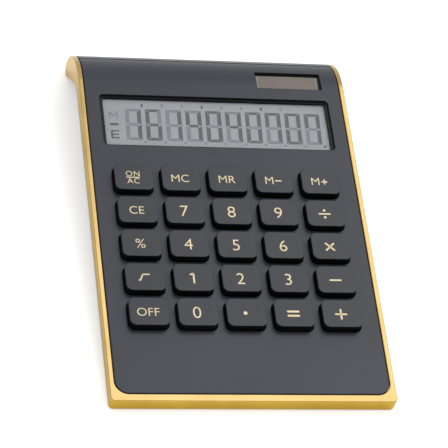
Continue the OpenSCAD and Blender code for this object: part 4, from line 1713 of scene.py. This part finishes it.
@dataclass
class KeyBoard:
    """The 25 keys, each with its printed legend."""

    layout: Layout
    edge: float = 0.28
    wall: float = 1.0
    flange_reach: float = 0.6
    flange_t: float = 0.5
    flange_gap: float = 0.05
    plunger_r: float = 1.8
    rim_steps: int = 6
    shade_steps: int = 3
    brow: float = 0.15
    dish: tuple[float, ...] = (1.1, 2.2)
    ink_x: float = -0.35
    ink_y: float = -0.4
    printer: Printer = field(default_factory=Printer)

    def cap(self, name: str, x: float, y: float) -> bpy.types.Object:
        """Builds one hollow key with its flange and its plunger.

        Args:
            name: The key's node and body.
            x: X of its centre.
            y: Y of its centre.

        Returns:
            The key.
        """
        lay, shell = self.layout, Shell()
        outline = RoundRect(x, y, lay.key_w, lay.key_l, lay.key_r, steps=10)
        flange_top = -lay.panel_t - self.flange_gap
        low, ceiling = flange_top - self.flange_t, lay.key_h - self.wall
        steps = (
            (-self.wall, ceiling), (-self.wall, low),
            (self.flange_reach, low), (self.flange_reach, flange_top),
            (0, flange_top), (0, lay.key_h - self.edge - self.brow),
        )
        # The sides, the inside and the lower steps of the rounded top edge get the near-black finish:
        # painted shade.
        roof, brow = shell.stack([at_height(outline.loop(grow), z) for grow, z in steps], 1)
        shell.fill([roof], 1)
        rim = rolled(outline, lay.key_h, self.edge, Side.INSIDE, self.rim_steps)
        shell.bridge(brow, shell.stack(rim[:self.shade_steps + 1], 1)[0], 1)
        face = [at_height(outline.loop(-inset), lay.key_h) for inset in self.dish]
        shell.fill([shell.stack(rim[self.shade_steps:] + face)[1]])
        root = ceiling + 0.1
        plunger = [(AXIS_R, root), (self.plunger_r, root), (self.plunger_r, low), (AXIS_R, low)]
        shell.turned(x, y, plunger, 1)
        finishes = [Stock.KEY.material, Stock.KEY_WALL.material]
        return shell.piece("cap_" + name[4:], finishes, Stock.KEY.slot, body=name, replaces=[name])

    def legend(self, name: str, x: float, y: float) -> bpy.types.Object:
        """Prints one key's legend.

        Args:
            name: The key's node and body.
            x: X of its centre.
            y: Y of its centre.

        Returns:
            The legend.
        """
        shell, top = Shell(), self.layout.key_h
        for mark in LEGENDS.get(name, (Words(name[4:], DIGIT_H),)):
            draw = self.printer.words if isinstance(mark, Words) else self.printer.stroke
            draw(shell, mark, x + self.ink_x, y + self.ink_y, top)
        ink = Stock.LEGEND
        return shell.piece("legend_" + name[4:], [ink.material], ink.slot, body=name, crease=20)

    def build(self) -> None:
        """Builds every key with its legend."""
        for name, place in zip(KEYS, self.layout.key_places()):
            self.cap(name, *place)
            self.legend(name, *place)


# ---- Key mat ------------------------------------------------------------------------------------


@dataclass
class KeyMat:
    """Rubber sheet with a dome under each key, and the conductive pill inside each dome."""

    layout: Layout
    top: float = -2.75
    sheet_t: float = 0.35
    dome_h: float = 1.0
    press: float = 0.8
    stake_gap: float = 1.0
    side_margin: float = 1.2
    front_margin: float = 2.6
    back_margin: float = 2.1
    hole_r: float = 2.8
    edge: float = 0.06
    slack: float = 0.01

    def sheet(self) -> None:
        """Builds the sheet, with an opening under each dome and round each of the board's pins."""
        lay, shell = self.layout, Shell()
        half = ((lay.columns - 1) * lay.pitch_x + lay.key_w) / 2 + self.side_margin
        front, back = lay.front_margin - self.front_margin, lay.keys_top + self.back_margin
        outline = RoundRect(0, (front + back) / 2, 2 * half, back - front, 0.8, steps=4)
        low = self.top - self.sheet_t
        width, gap = 2 * self.hole_r, self.stake_gap
        holes = [RoundRect(*place, width, width, self.hole_r, steps=6) for place in lay.key_places()]
        holes += [RoundRect(*place, 2 * gap, 2 * gap, gap, steps=4) for place in lay.stake_places()]
        uppers, lowers = [], []
        for hole, edge in [(outline, Side.INSIDE)] + [(hole, Side.OUTSIDE) for hole in holes]:
            rings = [at_height(hole.loop(), low)] + rolled(hole, self.top, self.edge, edge, 2)
            first, last = shell.stack(rings)
            lowers.append(first)
            uppers.append(last)
        shell.fill(uppers)
        shell.fill(lowers)
        shell.piece("mat_sheet", [Stock.MAT.material], Stock.MAT.slot, replaces=["key_mat"])

    def under_key(self, name: str, x: float, y: float) -> None:
        """Builds the dome and the pill under one key.

        Args:
            name: The key's node and body.
            x: X of its centre.
            y: Y of its centre.
        """
        dome, pill = Shell(), Shell()
        outer = [(3.6, 0.0), (3.28, 0.3), (2.86, 0.68), (2.55, 0.89), (2.25, 0.98), (AXIS_R, 0.98)]
        inner = [(AXIS_R, 0.52), (1.85, 0.52), (2.15, 0.35), (2.65, 0.0)]
        dome.turned(x, y, [(r, self.top + h * self.dome_h) for r, h in outer + inner])
        disc = [(AXIS_R, 0.26), (1.42, 0.26), (1.5, 0.32), (1.5, 0.5), (AXIS_R, 0.5)]
        pill.turned(x, y, [(r, self.top + h * self.dome_h) for r, h in disc])
        skin, core = Stock.MAT, Stock.CARBON
        rubber = dome.piece("dome_" + name[4:], [skin.material], skin.slot)
        carbon = pill.piece("pill_" + name[4:], [core.material], core.slot, replaces=["contact_pills"])
        for soft in (rubber, carbon):
            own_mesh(soft)

    def build(self) -> None:
        """Builds the sheet and everything under each key."""
        self.sheet()
        for name, place in zip(KEYS, self.layout.key_places()):
            self.under_key(name, *place)


# ---- Display and solar cell ---------------------------------------------------------------------


class Segment(Enum):
    """The seven segments of a digit, each by the side and the height that it is at."""

    TOP = (0, 1)
    MIDDLE = (0, 0)
    LOW = (0, -1)
    UPPER_LEFT = (-1, 1)
    UPPER_RIGHT = (1, 1)
    LOWER_LEFT = (-1, -1)
    LOWER_RIGHT = (1, -1)


LETTER_E = (
    Stroke(((1.3, 1.65), (-1.3, 1.65), (-1.3, -1.65), (1.3, -1.65)), 0.72),
    Stroke(((-1.3, 0), (1.2, 0)), 0.72),
)
LETTER_M = Stroke(((-1.45, -1.5), (-1.45, 1.5), (0, -0.5), (1.45, 1.5), (1.45, -1.5)), 0.55)
RIGHT_PAIR = {Segment.UPPER_RIGHT, Segment.LOWER_RIGHT}
LIT: dict[str, set[Segment]] = {
    "0": set(Segment) - {Segment.MIDDLE},
    "1": RIGHT_PAIR,
    "4": RIGHT_PAIR | {Segment.UPPER_LEFT, Segment.MIDDLE},
    "6": set(Segment) - {Segment.UPPER_RIGHT},
    "7": RIGHT_PAIR | {Segment.UPPER_LEFT, Segment.TOP},
}


@dataclass
class Display:
    """Liquid crystal display: its window, glasses, polariser and segments."""

    layout: Layout
    panel: FrontPanel
    reading: str = "1614040707"
    pitch: float = 7.88
    first_x: float = -32.6
    half_w: float = 2.3
    half_h: float = 6.85
    centre_y: float = 121.75
    upright_t: float = 1.6
    level_t: float = 1.3
    gap: float = 0.13
    slant: float = 0.035
    comma: tuple[float, ...] = (-0.3, 131.0, 0.85, 1.7)
    point: tuple[float, ...] = (0.15, 113.5, 1.1, 1.0)
    dash: tuple[float, ...] = (121.6, 3.4, 1.2)
    comma_places: int = 8
    sign_shift: float = 0.35
    error_y: float = 116.8
    memory_y: float = 126.0
    film_t: float = 0.065
    window_t: float = 0.2
    window_inset: float = 0.3
    film_reach: tuple[float, float] = (1.0, 0.6)
    sheet_r: float = 0.4
    face: float = -2.18
    printer: Printer = field(default_factory=lambda: Printer(thickness=0.012, sink=0.008))

    def prism(self, shell: Shell, loop: Loop) -> None:
        """Lays a flat mark on the polariser, leaning with the digits.

        Args:
            shell: The shell that it goes into.
            loop: The mark's outline.
        """
        lean = [(x + self.slant * (y - self.centre_y), y) for x, y in loop]
        low, high = self.face - self.printer.sink, self.face + self.printer.thickness
        shell.capped([at_height(lean, low), at_height(lean, high)])

    def segment(self, shell: Shell, x: float, segment: Segment) -> None:
        """Lays one segment of a digit, mitred at its ends.

        Args:
            shell: The shell that it goes into.
            x: X of the digit's centre.
            segment: The segment.
        """
        w, h, t, l, gap = self.half_w, self.half_h, self.upright_t / 2, self.level_t / 2, self.gap
        side, up = segment.value
        if side:
            half = [(w + t, gap), (w + t, h + l - gap), (w - t, h - l - gap), (w - t, l + gap)]
            loop = [(side * u, up * v) for u, v in half]
        elif up:
            half = [(w + t - gap, h + l), (w - t - gap, h - l)]
            loop = [(u, up * v) for u, v in half] + [(-u, up * v) for u, v in reversed(half)]
        else:
            half = [(w - t - gap, -l), (w - gap, 0), (w - t - gap, l)]
            loop = half + [(-u, v) for u, v in reversed(half)]
        self.prism(shell, [(x + u, self.centre_y + v) for u, v in loop])

    def dot(self, shell: Shell, x: float, y: float, w: float, l: float) -> None:
        """Lays a rounded dot or tick."""
        self.prism(shell, RoundRect(x, y, w, l, min(w, l) * 0.45, steps=4).loop())

    def segments(self) -> None:
        """Builds the dark marks and the faint ones."""
        dark, faint = Shell(), Shell()
        for place, digit in enumerate(self.reading):
            x = self.first_x + place * self.pitch
            for segment in Segment:
                self.segment(dark if segment in LIT[digit] else faint, x, segment)
            right = x + self.pitch / 2
            if place < self.comma_places:
                self.dot(dark if place % 3 == 0 else faint, right + self.comma[0], *self.comma[1:])
            last = place == len(self.reading) - 1
            self.dot(dark if last else faint, right + self.point[0], *self.point[1:])
        left = self.first_x - self.pitch + self.sign_shift
        self.dot(dark, left, *self.dash)
        for stroke in LETTER_E:
            self.printer.stroke(dark, stroke, left, self.error_y, self.face)
        self.printer.stroke(faint, LETTER_M, left, self.memory_y, self.face)
        for name, shell, stock in (
            ("display_digits", dark, Stock.INK_ON),
            ("display_ghosts", faint, Stock.INK_OFF),
        ):
            shell.piece(name, [stock.material], stock.slot, crease=20)

    def build(self) -> None:
        """Builds the window, the polariser and the segments."""
        view, glass = self.panel.view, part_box("display_front_glass")
        half = glass[1].x / MM
        top = -self.panel.display_depth
        y, length = view.y + self.layout.glass_shift, self.layout.display_l - self.window_inset
        sheet = RoundRect(0, y, 2 * half, length, self.sheet_r, steps=3)
        window, film = Shell(), Shell()
        window.block(sheet, top - self.window_t, top, 0.04)
        clear, grey = Stock.WINDOW, Stock.POLARISER
        pane = {"replaces": ["display_window"], "crease": 20}
        window.piece("display_pane", [clear.material], clear.slot, **pane)
        width, length = view.w + self.film_reach[0], view.l + self.film_reach[1]
        cover = RoundRect(0, view.y, width, length, self.sheet_r, steps=3)
        film.block(cover, self.face - self.film_t, self.face, 0.02)
        film.piece("display_polariser", [grey.material], grey.slot, crease=20)
        self.segments()


@dataclass
class SolarPanel:
    """Solar cell: a glass plate with brown film under its middle."""

    panel: FrontPanel
    border: float = 1.4
    plate_reach: float = 1.6
    plate_t: float = 1.07
    plate_edge: float = 0.08
    plate_r: float = 0.3
    strips: int = 4
    strip_gap: float = 0.04
    strip_t: float = 0.04
    strip_rise: float = 0.03
    strip_edge: float = 0.01

    def build(self) -> None:
        """Builds the cell's glass and its film strips."""
        window, top = self.panel.solar, -self.panel.solar_depth
        low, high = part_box("solar_cell")
        width = (high.x - low.x) / MM
        plate, film = Shell(), Shell()
        length, face = window.l + self.plate_reach, top - self.strip_rise
        sheet = RoundRect(window.x, window.y, width, length, self.plate_r, steps=3)
        plate.block(sheet, face - self.plate_t, face, self.plate_edge)
        glass = Stock.SOLAR_EDGE
        plate.piece("solar_plate", [glass.material], glass.slot, replaces=["solar_cell"])
        width, length = window.w - 2 * self.border, window.l - 2 * self.border
        step = width / self.strips
        for i in range(self.strips):
            x = window.x - width / 2 + step * (i + 0.5)
            strip = RoundRect(x, window.y + 0.1, step - self.strip_gap, length, 0.1, steps=2)
            film.block(strip, top - self.strip_t, top, self.strip_edge)
        film.piece("solar_strips", [Stock.SOLAR.material], Stock.SOLAR.slot, crease=20)


# ---- Pieces that keep their modelled shape ------------------------------------------------------


@dataclass
class Dressing:
    """Gives a node that keeps its shape a finish and softened edges."""

    stock: Stock
    nodes: tuple[str, ...]
    edge: float = 0.1

    def dress(self) -> None:
        """Dresses each of the nodes."""
        for name in self.nodes:
            node = frame["nodes"][name]
            node.data.materials.clear()
            node.data.materials.append(self.stock.material)
            if self.edge:
                node.modifiers.new("one skin", "WELD").merge_threshold = 1e-6
                bevel = node.modifiers.new("soft edges", "BEVEL")
                bevel.width, bevel.segments = self.edge * MM, 2
                bevel.limit_method, bevel.angle_limit = "ANGLE", math.radians(38)
                node.data.shade_smooth()
                node.modifiers.new("even shading", "WEIGHTED_NORMAL").weight = 100
            LOG.info("%s: %s", name, self.stock.value[1].name)


@dataclass
class Inside:
    """Everything under the panel and the cover, and the cover itself."""

    foam_inset: float = 0.1
    foam_bulge: float = 0.05
    foam_steps: int = 6
    dressings: tuple[Dressing, ...] = (
        Dressing(Stock.COVER, ("rear_cover",), 0.2),
        Dressing(Stock.COVER, ("battery_door",), 0.12),
        Dressing(Stock.RUBBER, ("front_feet", "rear_feet"), 0.15),
        Dressing(Stock.SCREW, ("case_screws",), 0.06),
        Dressing(Stock.GLASS, ("display_front_glass", "display_rear_glass"), 0.05),
        Dressing(Stock.RIBBON, ("display_ribbon",), 0.02),
        Dressing(Stock.RED, ("solar_wire_plus", "cell_wire_plus"), 0),
        Dressing(Stock.BLACK, ("solar_wire_minus", "cell_wire_minus"), 0),
        Dressing(Stock.BOARD, ("circuit_board",), 0.06),
        Dressing(Stock.RESIN, ("chip_blob",), 0),
        Dressing(Stock.CERAMIC, ("chip_capacitor",), 0.08),
        Dressing(Stock.DIODE, ("glass_diode",), 0.06),
        Dressing(Stock.CELL, ("button_cell",), 0.15),
        Dressing(Stock.CONTACT, ("cell_contact_plus", "cell_contact_minus"), 0.04),
    )

    def build(self) -> None:
        """Dresses the nodes and puts foam under the solar cell."""
        for dressing in self.dressings:
            dressing.dress()
        self.pad()

    def pad(self) -> None:
        """Builds the foam pad, which bulges a little between the cell and the floor."""
        verts = frame["nodes"]["solar_cell_pad"].data.vertices
        corners = [PLACE.inverted() @ vert.co for vert in verts]
        low = Vector([min(c[i] for c in corners) for i in range(3)])
        high = Vector([max(c[i] for c in corners) for i in range(3)])
        size, middle = high - low, (low + high) / 2
        shell = Shell()
        width, length = size.x - self.foam_inset, size.y - self.foam_inset
        outline = RoundRect(middle.x, middle.y, width, length, 0.3, steps=3)
        rise = [i / self.foam_steps for i in range(self.foam_steps + 1)]
        bulge = [(share, self.foam_bulge * math.sin(math.pi * share)) for share in rise]
        shell.capped([at_height(outline.loop(out), low.z + size.z * t) for t, out in bulge])
        black = Stock.FOAM
        foam = shell.piece("solar_foam", [black.material], black.slot, replaces=["solar_cell_pad"])


# ---- Studio -------------------------------------------------------------------------------------


@dataclass(frozen=True)
class Softbox:
    """A soft lamp aimed at the calculator."""

    name: str
    at: tuple[float, float, float]
    size: float
    power: float

    def hang(self) -> None:
        """Puts the lamp up."""
        lamp = bpy.data.lights.new(self.name, "AREA")
        lamp.energy, lamp.size = self.power, self.size
        holder = bpy.data.objects.new(self.name, lamp)
        holder.location = self.at
        holder.rotation_euler = (-Vector(self.at)).to_track_quat("-Z", "Y").to_euler()
        bpy.context.scene.collection.objects.link(holder)


@dataclass
class Studio:
    """Pale floor, soft lamps and the camera."""

    lamps: tuple[Softbox, ...] = (
        Softbox("side softbox", (0.6, 0.25, 0.95), 1.1, 5.0),
    )
    sky: float = 0.85
    lens: float = 206.1
    distance: float = 0.95972
    target: tuple[float, float, float] = (-0.00301, -0.00777, 0.01396)
    azimuth: float = 19.046
    elevation: float = 47.174
    roll: float = 15.343

    def floor(self) -> None:
        """Lays a wide pale floor with a faint grain."""
        shell = Shell()
        reach, steps = 3.0, 12
        spots = [reach * (2 * i / steps - 1) for i in range(steps + 1)]
        rows = [shell.ring((x, y, 0) for x in spots) for y in spots]
        for first, second in zip(rows, rows[1:]):
            shell.bridge(first, second, closed=False)
        mesh = bpy.data.meshes.new("floor")
        shell.bm.to_mesh(mesh)
        shell.bm.free()
        paper = Finish("floor paper", rgb(250, 250, 250), rgb(248, 248, 247), 0.8, 0.05, 900, 0.00001,
                       specular=0.2, glow=0.36)
        mesh.materials.append(paper.make())
        floor = bpy.data.objects.new("floor", mesh)
        bpy.context.scene.collection.objects.link(floor)

    def light(self) -> None:
        """Lights the scene from a pale sky and the lamps."""
        world = bpy.data.worlds.new("studio")
        world.use_nodes = True
        sky = world.node_tree.nodes["Background"]
        sky.inputs["Color"].default_value = (1.0, 1.0, 1.0, 1.0)
        sky.inputs["Strength"].default_value = self.sky
        bpy.context.scene.world = world
        for lamp in self.lamps:
            lamp.hang()
        bpy.context.scene.view_settings.view_transform = "Standard"

    def camera(self) -> None:
        """Sets the camera up in front of the calculator, a little to its left."""
        turn, rise, roll = (math.radians(v) for v in (self.azimuth, self.elevation, self.roll))
        flat = math.cos(rise)
        ahead = Vector((math.sin(turn) * flat, math.cos(turn) * flat, -math.sin(rise)))
        level = ahead.cross(Vector((0, 0, 1))).normalized()
        over = level.cross(ahead)
        right = math.cos(roll) * level + math.sin(roll) * over
        up = math.cos(roll) * over - math.sin(roll) * level
        view = bpy.data.cameras.new("camera")
        view.lens, view.sensor_width = self.lens, 36.0
        view.clip_start, view.clip_end = 0.05, 20.0
        camera = bpy.data.objects.new("camera", view)
        axes = Matrix((right, up, -ahead)).transposed().to_4x4()
        camera.matrix_world = Matrix.Translation(Vector(self.target) - self.distance * ahead) @ axes
        bpy.context.scene.collection.objects.link(camera)
        bpy.context.scene.camera = camera

    def build(self) -> None:
        """Sets up the camera, the floor and the light."""
        self.camera()
        self.floor()
        self.light()


def main() -> None:
    """Builds the calculator piece by piece."""
    logging.basicConfig(level=logging.INFO, format="%(message)s")
    panel = FrontPanel(LAYOUT)
    Studio().build()
    GoldFrame(LAYOUT).build()
    panel.build()
    KeyBoard(LAYOUT).build()
    KeyMat(LAYOUT).build()
    Display(LAYOUT, panel).build()
    SolarPanel(panel).build()
    Inside().build()


if __name__ == "__main__":
    main()
